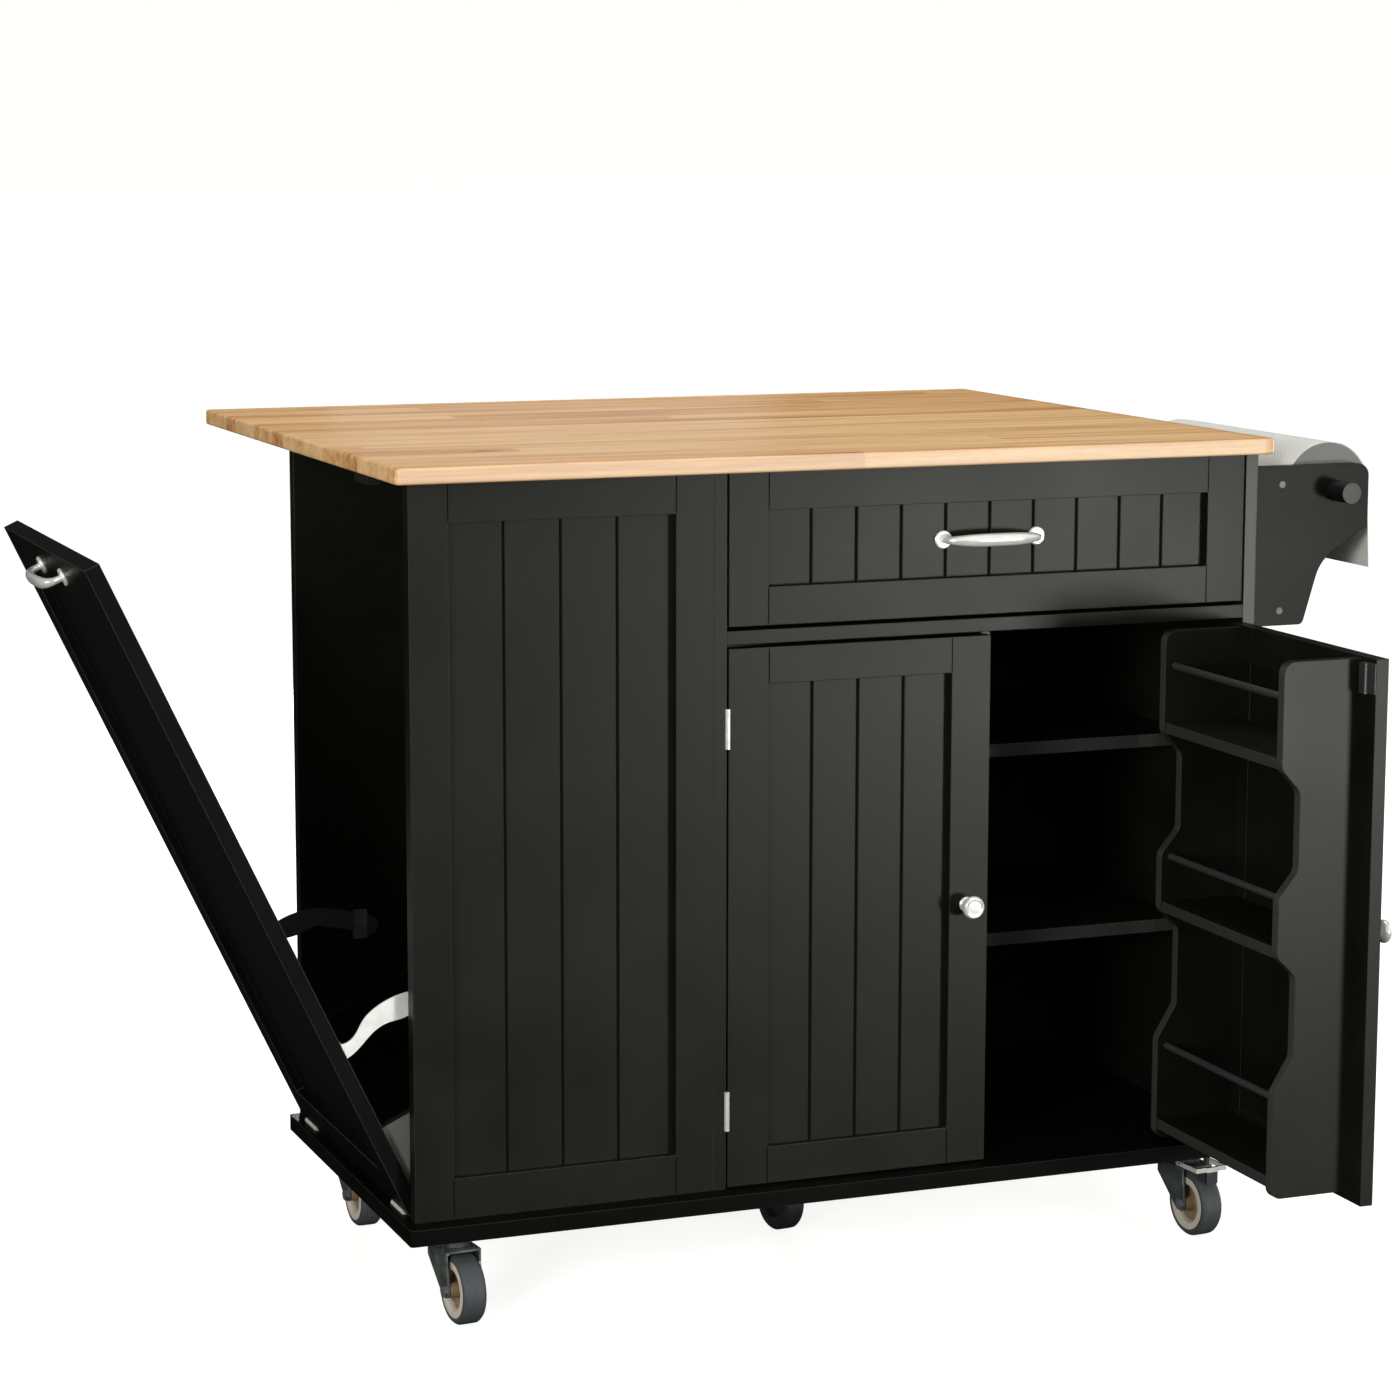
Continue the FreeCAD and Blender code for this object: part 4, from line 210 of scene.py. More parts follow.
# Each frame's body, the widths of its stiles, lower rail and upper rail in millimetres, and its ways along and outward
FRAMES = {
    "bin_front_frame": ("cabinet", 43.5, 45, 45, (1, 0, 0), TO_FRONT),
    "drawer_front_frame": ("drawer", 46, 42, 42, (1, 0, 0), TO_FRONT),
    "left_door_frame": ("left_door", 47, 41.5, 40, (1, 0, 0), TO_FRONT),
    "right_door_frame": ("right_door", 47, 41.5, 40, (0, 1, 0), (1, 0, 0)),
    "bin_door_frame": ("bin_door", 47, 47, 47, TO_FRONT, (-math.cos(BIN_TILT), 0, -math.sin(BIN_TILT))),
}
LINE_WIDE, LINE_PROUD, LINE_DEEP = 1.2, 0.05, 1
LINE_END_GAP = 1.2
LINE_BLACK, LINE_DUSTY, LINE_GRIME = "#020202", "#060605", 300.0


def seat(name, along, outward):
    """A node's own axes (along, outward, up) and the corners of its box on them, in millimetres."""
    axes = np.array([along, outward, np.cross(outward, along)], float)
    places = np.array([vertex.co for vertex in cad[name].data.vertices]) @ axes.T / MM
    return axes, places.min(0), places.max(0)


def piece_from(name, points, faces, body, made, sharp=40):
    """A piece with these points, in millimetres, and faces, smooth up to an angle between faces, riding on a body."""
    mesh = bpy.data.meshes.new(name)
    mesh.from_pydata((np.asarray(points, float) * MM).tolist(), [], np.asarray(faces).tolist())
    mesh.polygons.foreach_set("use_smooth", np.ones(len(mesh.polygons), bool))
    mesh.set_sharp_from_angle(angle=math.radians(sharp))
    piece = bpy.data.objects.new(name, mesh)
    bpy.context.scene.collection.objects.link(piece)
    cover(piece, made)
    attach(piece, body)
    return piece


def boxes(low_corners, high_corners, axes):
    """Points and faces of boxes between pairs of corners given on three axes: a corner takes low or high on each."""
    pick = np.array([(x, y, z) for z in (0, 1) for y in (0, 1) for x in (0, 1)], bool)
    low, high = (np.asarray(corners, float)[:, None] for corners in (low_corners, high_corners))
    points = np.where(pick, high, low).reshape(-1, 3) @ axes
    sides = np.array([(0, 2, 3, 1), (4, 5, 7, 6), (0, 1, 5, 4), (2, 6, 7, 3), (0, 4, 6, 2), (1, 3, 7, 5)])
    if np.linalg.det(axes) < 0:
        sides = sides[:, ::-1]
    faces = sides + 8 * np.arange(len(low_corners))[:, None, None]
    return points, faces.reshape(-1, 4)


hairline, tree, place = material("sunk lacquer in a joint")
grime = add(tree, "TexNoise", {"Vector": place, "Scale": LINE_GRIME})
dark_line = add(tree, "ValToRGB", {"Fac": grime}, stops=((0.3, LINE_BLACK), (0.8, LINE_DUSTY)))
finish(hairline, add(tree, "BsdfPrincipled", {"Base Color": dark_line, "Roughness": 0.9, "Specular IOR Level": 0.05}))
for name, (body, stile, low_rail, top_rail, along, outward) in FRAMES.items():
    axes, low, high = seat(name, along, outward)
    lows, highs = [], []
    for x in (low[0] + stile, high[0] - stile):
        for start, end in ((low[2], low[2] + low_rail), (high[2] - top_rail, high[2])):
            lows.append((x - LINE_WIDE / 2, high[1] - LINE_DEEP, start + LINE_END_GAP))
            highs.append((x + LINE_WIDE / 2, high[1] + LINE_PROUD, end - LINE_END_GAP))
    points, faces = boxes(lows, highs, axes)
    piece_from(name + "_joint_lines", points, faces, body, hairline)

# The worktop and its drop leaf: rubberwood staves glued side by side, end-jointed, oiled and satin varnished.
# Each stave has its own tone and grain, with pores along it and thin glue joints round it; one has a small knot.

STAVE_WIDE = 44 * MM
STAVE_LONG = 840 * MM
JOINT_WIDE = 0.7 * MM
WOOD_PALE, WOOD_HONEY, WOOD_TAN, WOOD_DARK = "#EBC592", "#DDAF76", "#C58D55", "#8E5D33"
# Painted highlight on the worktop's front edge, mixed in at that share
WOOD_FRONT_HIGHLIGHT, FRONT_HIGHLIGHT_SHARE = "#EBDDC8", 0.36
KNOT_AT = (-283.3 * MM, -113 * MM, 930 * MM)
FIGURE, RINGS, PORES = 20 * MM, 5 * MM, 0.9 * MM
BROWN_FROM, BROWN_TO, BROWN_SHARE = 582 * MM, 588 * MM, 0.5


def rubberwood():
    """Staves along X: floor(y / width) numbers a stave, floor(x / length + its shift) a piece; both seed noise."""
    made, tree, place = material("varnished rubberwood staves")
    axes = add(tree, "SeparateXYZ", (place,), out="all")
    across = add(tree, "Math", (axes["Y"], STAVE_WIDE), operation="DIVIDE")
    stave = add(tree, "Math", (across,), operation="FLOOR")
    stave_seed = add(tree, "TexWhiteNoise", {"W": stave}, "Value", noise_dimensions="1D")
    slid = add(tree, "Math", (stave_seed, 9.0), operation="MULTIPLY")
    along = add(tree, "Math", (axes["X"], 1 / STAVE_LONG, slid), operation="MULTIPLY_ADD")
    number = add(tree, "Math", (along,), operation="FLOOR")
    stick = add(tree, "CombineXYZ", {"X": stave, "Y": number})
    seeds = add(tree, "TexWhiteNoise", {"Vector": stick}, "all", noise_dimensions="3D")
    own = add(tree, "VectorMath", (seeds["Color"], (3.0, 3.0, 3.0), place), operation="MULTIPLY_ADD")

    # The knot pulls the tone down round itself
    from_knot = add(tree, "VectorMath", (place, KNOT_AT), operation="SUBTRACT")
    from_knot = add(tree, "VectorMath", (from_knot, (1.0, 2.2, 1.0)), operation="MULTIPLY")
    far = add(tree, "VectorMath", (from_knot,), operation="LENGTH")
    knot = add(tree, "MapRange", {"Value": far, "From Min": 5 * MM, "From Max": 22 * MM, "To Min": 1.0, "To Max": 0.0})

    # Grain at three scales, each drawn out along the stave, from broad figure to pores
    grain = []
    for wide, detail, stretch in ((FIGURE, 4.0, 0.05), (RINGS, 5.0, 0.02), (PORES, 2.0, 0.04)):
        drawn_out = add(tree, "VectorMath", (own, (stretch, 1.0, 1.0)), operation="MULTIPLY")
        grain.append(add(tree, "TexNoise", {"Vector": drawn_out, "Scale": 1 / wide, "Detail": detail}))
    figure, rings, pores = grain
    tone = add(tree, "Math", (figure, 0.66, -0.08), operation="MULTIPLY_ADD")
    tone = add(tree, "Math", (rings, 0.42, tone), operation="MULTIPLY_ADD")
    tone = add(tree, "Math", (seeds["Value"], 0.22, tone), operation="MULTIPLY_ADD")
    tone = add(tree, "Math", (knot, -0.25, tone), operation="MULTIPLY_ADD")
    colour = add(tree, "ValToRGB", {"Fac": tone},
                 stops=((0.22, WOOD_DARK), (0.42, WOOD_TAN), (0.54, WOOD_HONEY), (0.7, WOOD_PALE)))

    # Joints between staves: a thin line of shadowed glue
    side = add(tree, "Math", (add(tree, "Math", (across, 0.5), operation="PINGPONG"), STAVE_WIDE), operation="MULTIPLY")
    end = add(tree, "Math", (add(tree, "Math", (along, 0.5), operation="PINGPONG"), STAVE_LONG), operation="MULTIPLY")
    nearest = add(tree, "Math", (side, end), operation="MINIMUM")
    joint = add(tree, "MapRange", {"Value": nearest, "From Max": JOINT_WIDE, "To Min": 0.35, "To Max": 0.0})
    pits = add(tree, "MapRange", {"Value": pores, "From Min": 0.35, "From Max": 0.5, "To Min": 0.22, "To Max": 0.0})
    for share in (joint, pits):
        colour = add(tree, "Mix", {"Factor": share, "A": colour, "B": WOOD_DARK}, data_type="RGBA")
    # The front edge is paler with a painted highlight, and the worktop's right end turns browner over 6 mm
    front_highlight = add(tree, "Mix", {"Factor": FRONT_HIGHLIGHT_SHARE, "A": colour, "B": WOOD_FRONT_HIGHLIGHT}, data_type="RGBA")
    colour = facing(tree, colour, TO_FRONT, front_highlight)
    right_end = add(tree, "MapRange", {
        "Value": axes["X"], "From Min": BROWN_FROM, "From Max": BROWN_TO, "To Max": BROWN_SHARE,
    })
    colour = add(tree, "Mix", {"Factor": right_end, "A": colour, "B": WOOD_TAN}, data_type="RGBA")
    sunk = add(tree, "Math", (joint, pits), operation="ADD")
    soft = add(tree, "Bevel", {"Radius": 1.6 * MM}, samples=6)
    shader = add(tree, "BsdfPrincipled", {
        "Base Color": colour,
        "Roughness": add(tree, "MapRange", {"Value": figure, "To Min": 0.36, "To Max": 0.52}),
        "Specular IOR Level": 0.4,
        "Normal": add(tree, "Bump", {"Height": sunk, "Distance": -0.08 * MM, "Normal": soft}),
    })
    return finish(made, shader)


staves = rubberwood()
cover("worktop", staves)
cover("drop_leaf", staves)

# Small black parts: the drawer's hardboard bottom, the rack's powder-coated steel rods, the holder's stained beech
# rod, the moulded catches. Each has an even dark colour over a fine pebbled relief; the rod's end has a painted
# highlight.

HARDBOARD, HARDBOARD_PALE, HARDBOARD_FIBRE = "#1E1E1C", "#2A2A27", 1.5 * MM
COATED_ROD, COATED_ROD_PALE, COATING_PEBBLE = "#2C2E2C", "#3C3E3C", 0.8 * MM
# The rod's end is lighter as a painted highlight
STAINED_BEECH, STAINED_BEECH_PALE, BEECH_END_HIGHLIGHT, BEECH_PORE = "#060606", "#0B0B0A", "#3A3937", 2 * MM
BLACK_ABS, BLACK_ABS_PALE, ABS_TEXTURE = "#161616", "#1E1E1E", 0.5 * MM


def pebbled(name, dark, pale, rough, grain, front=None):
    """Noise of that grain, in metres, drives colour from dark to pale, roughness by 0.06 either way and relief.

    front is the painted highlight colour of the faces that look to the front.
    """
    made, tree, place = material(name)
    pebbles = add(tree, "TexNoise", {"Vector": place, "Scale": 1 / grain, "Detail": 3.0})
    soft = add(tree, "Bevel", {"Radius": ARRIS / 2}, samples=4)
    colour = add(tree, "ValToRGB", {"Fac": pebbles}, stops=((0.35, dark), (0.7, pale)))
    if front:
        # Painted highlight on the faces that look to the front
        colour = facing(tree, colour, TO_FRONT, front)
    shader = add(tree, "BsdfPrincipled", {
        "Base Color": colour,
        "Roughness": add(tree, "MapRange", {"Value": pebbles, "To Min": rough - 0.06, "To Max": rough + 0.06}),
        "Specular IOR Level": 0.4,
        "Normal": add(tree, "Bump", {"Height": pebbles, "Distance": 0.05 * MM, "Normal": soft}),
    })
    return finish(made, shader)


cover("drawer_bottom", pebbled("pressed hardboard", HARDBOARD, HARDBOARD_PALE, 0.6, HARDBOARD_FIBRE))
cover("rack_rods", pebbled("black powder-coated steel", COATED_ROD, COATED_ROD_PALE, 0.34, COATING_PEBBLE))
cover("roll_rod", pebbled("black stained beech with a painted highlight on its end", STAINED_BEECH, STAINED_BEECH_PALE, 0.5, BEECH_PORE,
                          BEECH_END_HIGHLIGHT))
cover("magnetic_catches", pebbled("moulded ABS", BLACK_ABS, BLACK_ABS_PALE, 0.45, ABS_TEXTURE))

# Metal fittings: zinc castings polished and plated with bright nickel, and pressed steel plated with zinc.
# The nickel is a mirror with a faint haze, duller where fingers rub it; the zinc is a matt grey with a fine bloom.

NICKEL, NICKEL_RUBBED = "#F2F2EA", "#E6E6DE"
ZINC, ZINC_DULL = "#B0B2B2", "#868889"
FORK_ZINC, FORK_ZINC_DULL = "#626A65", "#454C48"
SCREW_ZINC, SCREW_ZINC_DULL = "#6F7070", "#58595A"
STAY_WHITE, STAY_DULL = "#F4F4EE", "#E8E8E2"
METALLIC = 0.45
HAZE, ZINC_BLOOM, CAST_WAVE = 14 * MM, 0.7 * MM, 3 * MM
BUFFERS_BLACK = ("Z", "GREATER_THAN", 665 * MM, "#2C2C2B")
# Painted shade: the far stay is darkened to a dull black
FAR_STAY_SHADE = ("Y", "GREATER_THAN", 0.0, "#30322F")


def plated(name, bright, dull, smooth, rough, grain, black_or_shade_where=None, shaded_top=None):
    """Metal whose tone and roughness drift over the width of a haze patch, with a fine relief of that grain, in metres.

    black_or_shade_where is an axis, a comparison, a place on it in metres, and the dull black of the parts that it
    holds for:
    real black parts, or a painted shade.
    shaded_top is the colour of the faces that look up, a painted shade.
    """
    made, tree, place = material(name)
    haze = add(tree, "TexNoise", {"Vector": place, "Scale": 1 / HAZE, "Detail": 3.0})
    fine = add(tree, "TexNoise", {"Vector": place, "Scale": 1 / grain, "Detail": 3.0})
    soft = add(tree, "Bevel", {"Radius": 0.4 * MM}, samples=4)
    colour = add(tree, "ValToRGB", {"Fac": haze}, stops=((0.35, dull), (0.65, bright)))
    metallic, roughness = METALLIC, add(tree, "MapRange", {"Value": haze, "To Min": smooth, "To Max": rough})
    # Painted shade on the faces that look up
    if shaded_top:
        colour = facing(tree, colour, (0, 0, 1), shaded_top)
    # Real black parts, or painted shade, where the mask holds
    if black_or_shade_where:
        axis, comparison, limit, dull_black = black_or_shade_where
        along = add(tree, "SeparateXYZ", (place,), out=axis)
        black = add(tree, "Math", (along, limit), operation=comparison)
        colour = add(tree, "Mix", {"Factor": black, "A": colour, "B": dull_black}, data_type="RGBA")
        metallic = add(tree, "Math", (black, -METALLIC, METALLIC), operation="MULTIPLY_ADD")
        roughness = add(tree, "Math", (black, 0.2, roughness), operation="MULTIPLY_ADD")
    shader = add(tree, "BsdfPrincipled", {
        "Base Color": colour,
        "Metallic": metallic,
        "Roughness": roughness,
        "Normal": add(tree, "Bump", {"Height": fine, "Distance": 0.01 * MM, "Normal": soft}),
    })
    return finish(made, shader)


nickel = plated("bright nickel plating", NICKEL, NICKEL_RUBBED, 0.14, 0.24, CAST_WAVE)
nickel_and_nylon = plated("nickel plating and nylon buffers", NICKEL, NICKEL_RUBBED, 0.2, 0.3, CAST_WAVE,
                          BUFFERS_BLACK)
zinc = plated("zinc plated steel", ZINC, ZINC_DULL, 0.3, 0.45, ZINC_BLOOM)
fork_zinc = plated("zinc plated steel of the casters", FORK_ZINC, FORK_ZINC_DULL, 0.3, 0.45, ZINC_BLOOM)
dull_zinc = plated("dull zinc plated steel", SCREW_ZINC, SCREW_ZINC_DULL, 0.45, 0.6, ZINC_BLOOM)
stay_steel = plated("white zinc plated strip with painted shade on the far stay", STAY_WHITE, STAY_DULL, 0.34, 0.42, ZINC_BLOOM, FAR_STAY_SHADE)
cover("hinge_plates", nickel)
for fitting in ("left_door_fittings", "right_door_fittings", "bin_door_fittings"):
    cover(fitting, nickel_and_nylon)
for fitting in ("drawer_runners", "drawer_slides", "leaf_wall_plates", "leaf_arms", "leaf_struts"):
    cover(fitting, zinc)
cover("caster_plates", fork_zinc)
for fitting in ("screws", "shelf_pins", "stay_guides"):
    cover(fitting, dull_zinc)
cover("bin_door_stays", stay_steel)

# Handles and knobs: zinc castings. A handle's bow swells from thin necks to a full middle and stands on two round
# feet; a knob is a mushroom with a raised ring round its flat face, on a small round foot.

HANDLE_OUT, BOW_POWER = 27.0, 3.0
BOW_NECK, BOW_HIGH, BOW_DEEP = 3.6, 7.3, 4.8
FOOT_RADIUS, FOOT_THICK = 10.4, 3.5
FOOT_INSET = 10.0
KNOB_RADIUS, KNOB_OUT = 13.0, 24.0


def softened(profile, radius, steps=5):
    """A closed outline with its corners made parabolas: (1-s)^2 A + 2s(1-s) corner + s^2 B, for s from 0 to 1."""
    points = np.array(profile, float)
    to_last = np.roll(points, 1, 0) - points
    to_next = np.roll(points, -1, 0) - points
    reach_last = np.minimum(radius / np.linalg.norm(to_last, axis=1), 0.45)[:, None] * to_last
    reach_next = np.minimum(radius / np.linalg.norm(to_next, axis=1), 0.45)[:, None] * to_next
    share = np.linspace(0, 1, steps)[None, :, None]
    first, second = (points + reach_last)[:, None], (points + reach_next)[:, None]
    return ((1 - share) ** 2 * first + 2 * share * (1 - share) * points[:, None] + share**2 * second).reshape(-1, 2)


def ring_faces(rows, columns):
    """Faces of a grid of points joined end to end both ways."""
    index = np.arange(rows * columns).reshape(rows, columns)
    next_row, next_column = np.roll(index, -1, 0), np.roll(index, -1, 1)
    return np.stack([index, next_column, np.roll(next_row, -1, 1), next_row], -1).reshape(-1, 4)


def turned(profile, centre, axis, steps=96):
    """A profile of (along, radius) points turned round an axis: centre + along * axis + radius * the turning spoke."""
    axis = np.array(axis, float) / np.linalg.norm(axis)
    side = np.cross(axis, (0, 0, 1.0)) if abs(axis[2]) < 0.9 else np.array((1.0, 0, 0))
    side /= np.linalg.norm(side)
    other = np.cross(axis, side)
    angle = np.linspace(0, 2 * np.pi, steps, endpoint=False)
    spokes = np.cos(angle)[:, None] * side + np.sin(angle)[:, None] * other
    along, radius = np.array(profile, float).T
    grid = np.array(centre) + along[None, :, None] * axis + radius[None, :, None] * spokes[:, None, :]
    return grid.reshape(-1, 3), ring_faces(steps, len(along))


def bow(axes, middle, half, steps=81, sides=32):
    """A tube along the curve |x/half|^n + |out/rise|^n = 1, its oval section swelling from the necks to the middle."""
    rise = HANDLE_OUT - BOW_DEEP
    turn = np.linspace(0, np.pi, steps)
    x = -half * np.sign(np.cos(turn)) * np.abs(np.cos(turn)) ** (2 / BOW_POWER)
    out = rise * np.sin(turn) ** (2 / BOW_POWER)
    path = np.stack([x, out], -1)
    heading = np.gradient(path, axis=0)
    heading /= np.linalg.norm(heading, axis=1)[:, None]
    normal = np.stack([-heading[:, 1], heading[:, 0]], -1)
    swell = np.clip(1 - np.abs(x / half) ** 3, 0, 1)
    high, deep = BOW_NECK + (BOW_HIGH - BOW_NECK) * swell, BOW_NECK + (BOW_DEEP - BOW_NECK) * swell
    angle = np.linspace(0, 2 * np.pi, sides, endpoint=False)
    flat = path[:, None] + normal[:, None] * (deep[:, None] * np.cos(angle))[..., None]
    tube = np.concatenate([flat, (high[:, None] * np.sin(angle))[..., None]], -1)
    rings = np.concatenate([np.broadcast_to(tube[:1].mean(1, keepdims=True), tube[:1].shape), tube,
                            np.broadcast_to(tube[-1:].mean(1, keepdims=True), tube[-1:].shape)])
    index = np.arange(rings.shape[0] * sides).reshape(-1, sides)
    beside = np.roll(index, -1, 1)
    faces = np.stack([index[:-1], beside[:-1], beside[1:], index[1:]], -1).reshape(-1, 4)
    return middle + rings.reshape(-1, 3) @ axes, faces


HANDLES = {"drawer_handle": "drawer_front_frame", "bin_door_handle": "bin_door_frame"}
KNOBS = {"left_door_knob": "left_door_frame", "right_door_knob": "right_door_frame"}
for name, front in HANDLES.items():
    body, *_, along, outward = FRAMES[front]
    axes, low, high = seat(name, along, outward)
    middle = np.array([(low[0] + high[0]) / 2, low[1], (low[2] + high[2]) / 2])
    half = (high[0] - low[0]) / 2 - FOOT_INSET
    made_bow = piece_from(name + "_bow", *bow(axes, middle @ axes, half), body, nickel, 60)
    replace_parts(made_bow, name)
    for end in (-1, 1):
        outline = softened([
            (0, 0.02), (0, FOOT_RADIUS), (FOOT_THICK * 0.7, FOOT_RADIUS - 0.2), (FOOT_THICK, FOOT_RADIUS - 1.8),
            (FOOT_THICK - 0.4, BOW_NECK + 1.4), (FOOT_THICK, 0.02),
        ], 0.6)
        centre = (middle + (end * half, 0, 0)) @ axes
        points, faces = turned(outline, centre, axes[1], 72)
        foot = piece_from(f"{name}_foot_{'left' if end < 0 else 'right'}", points, faces, body, nickel)
        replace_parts(foot, name)

for name, front in KNOBS.items():
    body, *_, along, outward = FRAMES[front]
    axes, low, high = seat(name, along, outward)
    middle = np.array([(low[0] + high[0]) / 2, low[1], (low[2] + high[2]) / 2]) @ axes
    outline = softened([
        (0, 0.02), (0, 8.5), (1.8, 8.5), (3, 6.4), (8, 5.2), (12, 6.4), (16, KNOB_RADIUS - 1.6), (19, KNOB_RADIUS),
        (22, KNOB_RADIUS - 0.4), (KNOB_OUT, KNOB_RADIUS - 2.2), (KNOB_OUT, KNOB_RADIUS - 3.6),
        (KNOB_OUT - 1.1, KNOB_RADIUS - 4.6), (KNOB_OUT - 0.5, 0.02),
    ], 1.1)
    points, faces = turned(outline, middle, axes[1])
    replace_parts(piece_from(name + "_casting", points, faces, body, nickel, 50), name)

# The paper: a roll of two-ply kitchen paper on its cardboard core, its end hanging over the roll's shoulder.
# Its winds show as fine rings on the cut ends, which are darkened with painted shade, and rows of pressed dots give it
# its padded look.

PAPER, PAPER_SHADE, PAPER_END_SHADE, CARDBOARD = "#DADAD4", "#BDBDB7", "#4E4F4C", "#A58A68"
ROLL_AXIS = (698.411 * MM, 0.0, 864 * MM)
ROLL_RADIUS = 54 * MM
CORE_RADIUS = 15.4 * MM
WIND, DOT_PITCH, DOTS_ROUND, FIBRE = 0.9 * MM, 6 * MM, 56.0, 1.2 * MM
PADDING_DEPTH = 0.25 * MM


def kitchen_paper():
    """Rings are sin(2 pi r / wind) inside the roll's radius; dots are sin(56 a) sin(2 pi y / pitch) on its side."""
    made, tree, place = material("two-ply kitchen paper")
    spoke = add(tree, "VectorMath", (place, ROLL_AXIS), operation="SUBTRACT")
    axes = add(tree, "SeparateXYZ", (spoke,), out="all")
    flat = add(tree, "CombineXYZ", {"X": axes["X"], "Z": axes["Z"]})
    radius = add(tree, "VectorMath", (flat,), operation="LENGTH")
    turn = add(tree, "Math", (axes["Z"], axes["X"]), operation="ARCTAN2")
    inside = add(tree, "Math", (radius, ROLL_RADIUS - 0.4 * MM), operation="LESS_THAN")
    core = add(tree, "Math", (radius, CORE_RADIUS), operation="LESS_THAN")
    winds, around, length = (
        add(tree, "Math", (add(tree, "Math", (value, factor), operation="MULTIPLY"),), operation="SINE")
        for value, factor in ((radius, 2 * math.pi / WIND), (turn, DOTS_ROUND), (axes["Y"], 2 * math.pi / DOT_PITCH))
    )
    winds = add(tree, "Math", (winds, inside), operation="MULTIPLY")
    side = add(tree, "Math", (1.0, inside), operation="SUBTRACT")
    dots = add(tree, "Math", (add(tree, "Math", (around, length), operation="MULTIPLY"), side), operation="MULTIPLY")
    fibres = add(tree, "TexNoise", {"Vector": place, "Scale": 1 / FIBRE, "Detail": 3.0})
    shade = add(tree, "Math", (fibres, 0.5, add(tree, "Math", (winds, 0.22, 0.4), operation="MULTIPLY_ADD")),
                operation="MULTIPLY_ADD")
    colour = add(tree, "ValToRGB", {"Fac": shade}, stops=((0.2, PAPER_SHADE), (0.7, PAPER)))
    # Painted shade on the roll's cut ends
    colour = add(tree, "Mix", {"Factor": add(tree, "Math", (inside, 0.8), operation="MULTIPLY"),
                               "A": colour, "B": PAPER_END_SHADE}, data_type="RGBA")
    colour = add(tree, "Mix", {"Factor": core, "A": colour, "B": CARDBOARD}, data_type="RGBA")
    relief = add(tree, "Math", (winds, 0.4, dots), operation="MULTIPLY_ADD")
    relief = add(tree, "Math", (fibres, 0.4, relief), operation="MULTIPLY_ADD")
    shader = add(tree, "BsdfPrincipled", {
        "Base Color": colour,
        "Roughness": 0.85,
        "Specular IOR Level": 0.2,
        "Sheen Weight": 0.15,
        "Normal": add(tree, "Bump", {"Height": relief, "Distance": PADDING_DEPTH}),
    })
    return finish(made, shader)


paper = kitchen_paper()
cover("paper_roll", paper)
cover("paper_tail", paper)

# Casters: zinc-plated pressed forks and plates, and wheels of grey thermoplastic rubber on a moulded nylon hub.
# The tread is turned with broad chamfers and a fine parting line, and the hub is dished about its boss.
# The two right ones have a nickel-plated foot brake, with painted shade on its tab and its upward faces, and the middle
# one is darkened all over as painted shade.

CASTERS = {
    "front_left": (62.5, 47, 5), "front_right": (956, 47, 5), "back_left": (62.5, 430, 2),
    "back_right": (956, 430, 5), "middle": (512, 241, 6),
}
BASE_CORNER = (-421.589, -261.375)
TRAIL, WHEEL_RADIUS = 24, 38
TREAD_HALF, TREAD_FLAT, TREAD_FOOT = 13.5, 9.5, 30.5
HUB_RIM, HUB_DISH, HUB_BOSS, AXLE = 22.5, 4.5, 8.5, 4.1
NUT_ACROSS, NUT_THICK, NUT_OUT = 12.5, 3.6, 20.5
# Painted shade: the brake tab below the plate and the pedal's upward faces are darkened
PEDAL_TAB_SHADE, PEDAL_TOP_SHADE = ("Z", "LESS_THAN", 82.1 * MM, "#1E201F"), "#2A2C2A"
TREAD_GREY, TREAD_DUST = "#35383A", "#424648"
# The middle caster's wheel, hub and fork are darkened as painted shade
MIDDLE_SHADE_BLACK, MIDDLE_SHADE_DUST = "#101111", "#1B1C1C"
RUBBER_PEBBLE, NYLON_MOTTLE = 1.2 * MM, 6 * MM
# The hub's dish and boss are darkened by a painted shade
HUB_BEIGE, HUB_SHADE, HUB_DISH_SHADE = "#BFB6A6", "#A0978A", "#7A664A"


def hub_nylon():
    """Moulded nylon, beige at the rim and darker in the dish as painted shade, by the UV's depth along the axle plus a
    little noise.
    """
    made, tree, place = material("moulded nylon hub")
    depth = add(tree, "SeparateXYZ", (add(tree, "TexCoord", out="UV"),), out="X")
    grain = add(tree, "TexNoise", {"Vector": place, "Scale": 1 / NYLON_MOTTLE, "Detail": 3.0})
    shade = add(tree, "Math", (grain, 0.25, depth), operation="MULTIPLY_ADD")
    shader = add(tree, "BsdfPrincipled", {
        "Base Color": add(tree, "ValToRGB", {"Fac": shade},
                          stops=((0.15, HUB_DISH_SHADE), (0.55, HUB_DISH_SHADE), (0.72, HUB_SHADE), (1.0, HUB_BEIGE))),
        "Roughness": add(tree, "MapRange", {"Value": grain, "To Min": 0.4, "To Max": 0.6}),
        "Specular IOR Level": 0.4,
    })
    return finish(made, shader)


rubber = pebbled("grey thermoplastic rubber", TREAD_GREY, TREAD_DUST, 0.62, RUBBER_PEBBLE)
shaded_rubber = pebbled("thermoplastic rubber darkened as painted shade", MIDDLE_SHADE_BLACK, MIDDLE_SHADE_DUST, 0.62, RUBBER_PEBBLE)
shaded_steel = pebbled("pressed steel darkened as painted shade", MIDDLE_SHADE_BLACK, MIDDLE_SHADE_DUST, 0.4, COATING_PEBBLE)
nylon = hub_nylon()
tread_side = [
    (TREAD_HALF - 0.6, TREAD_FOOT), (TREAD_HALF, TREAD_FOOT + 1), (TREAD_HALF - 0.4, WHEEL_RADIUS - 3.2),
    (TREAD_FLAT, WHEEL_RADIUS - 0.1), (0.5, WHEEL_RADIUS), (0.25, WHEEL_RADIUS - 0.3),
]
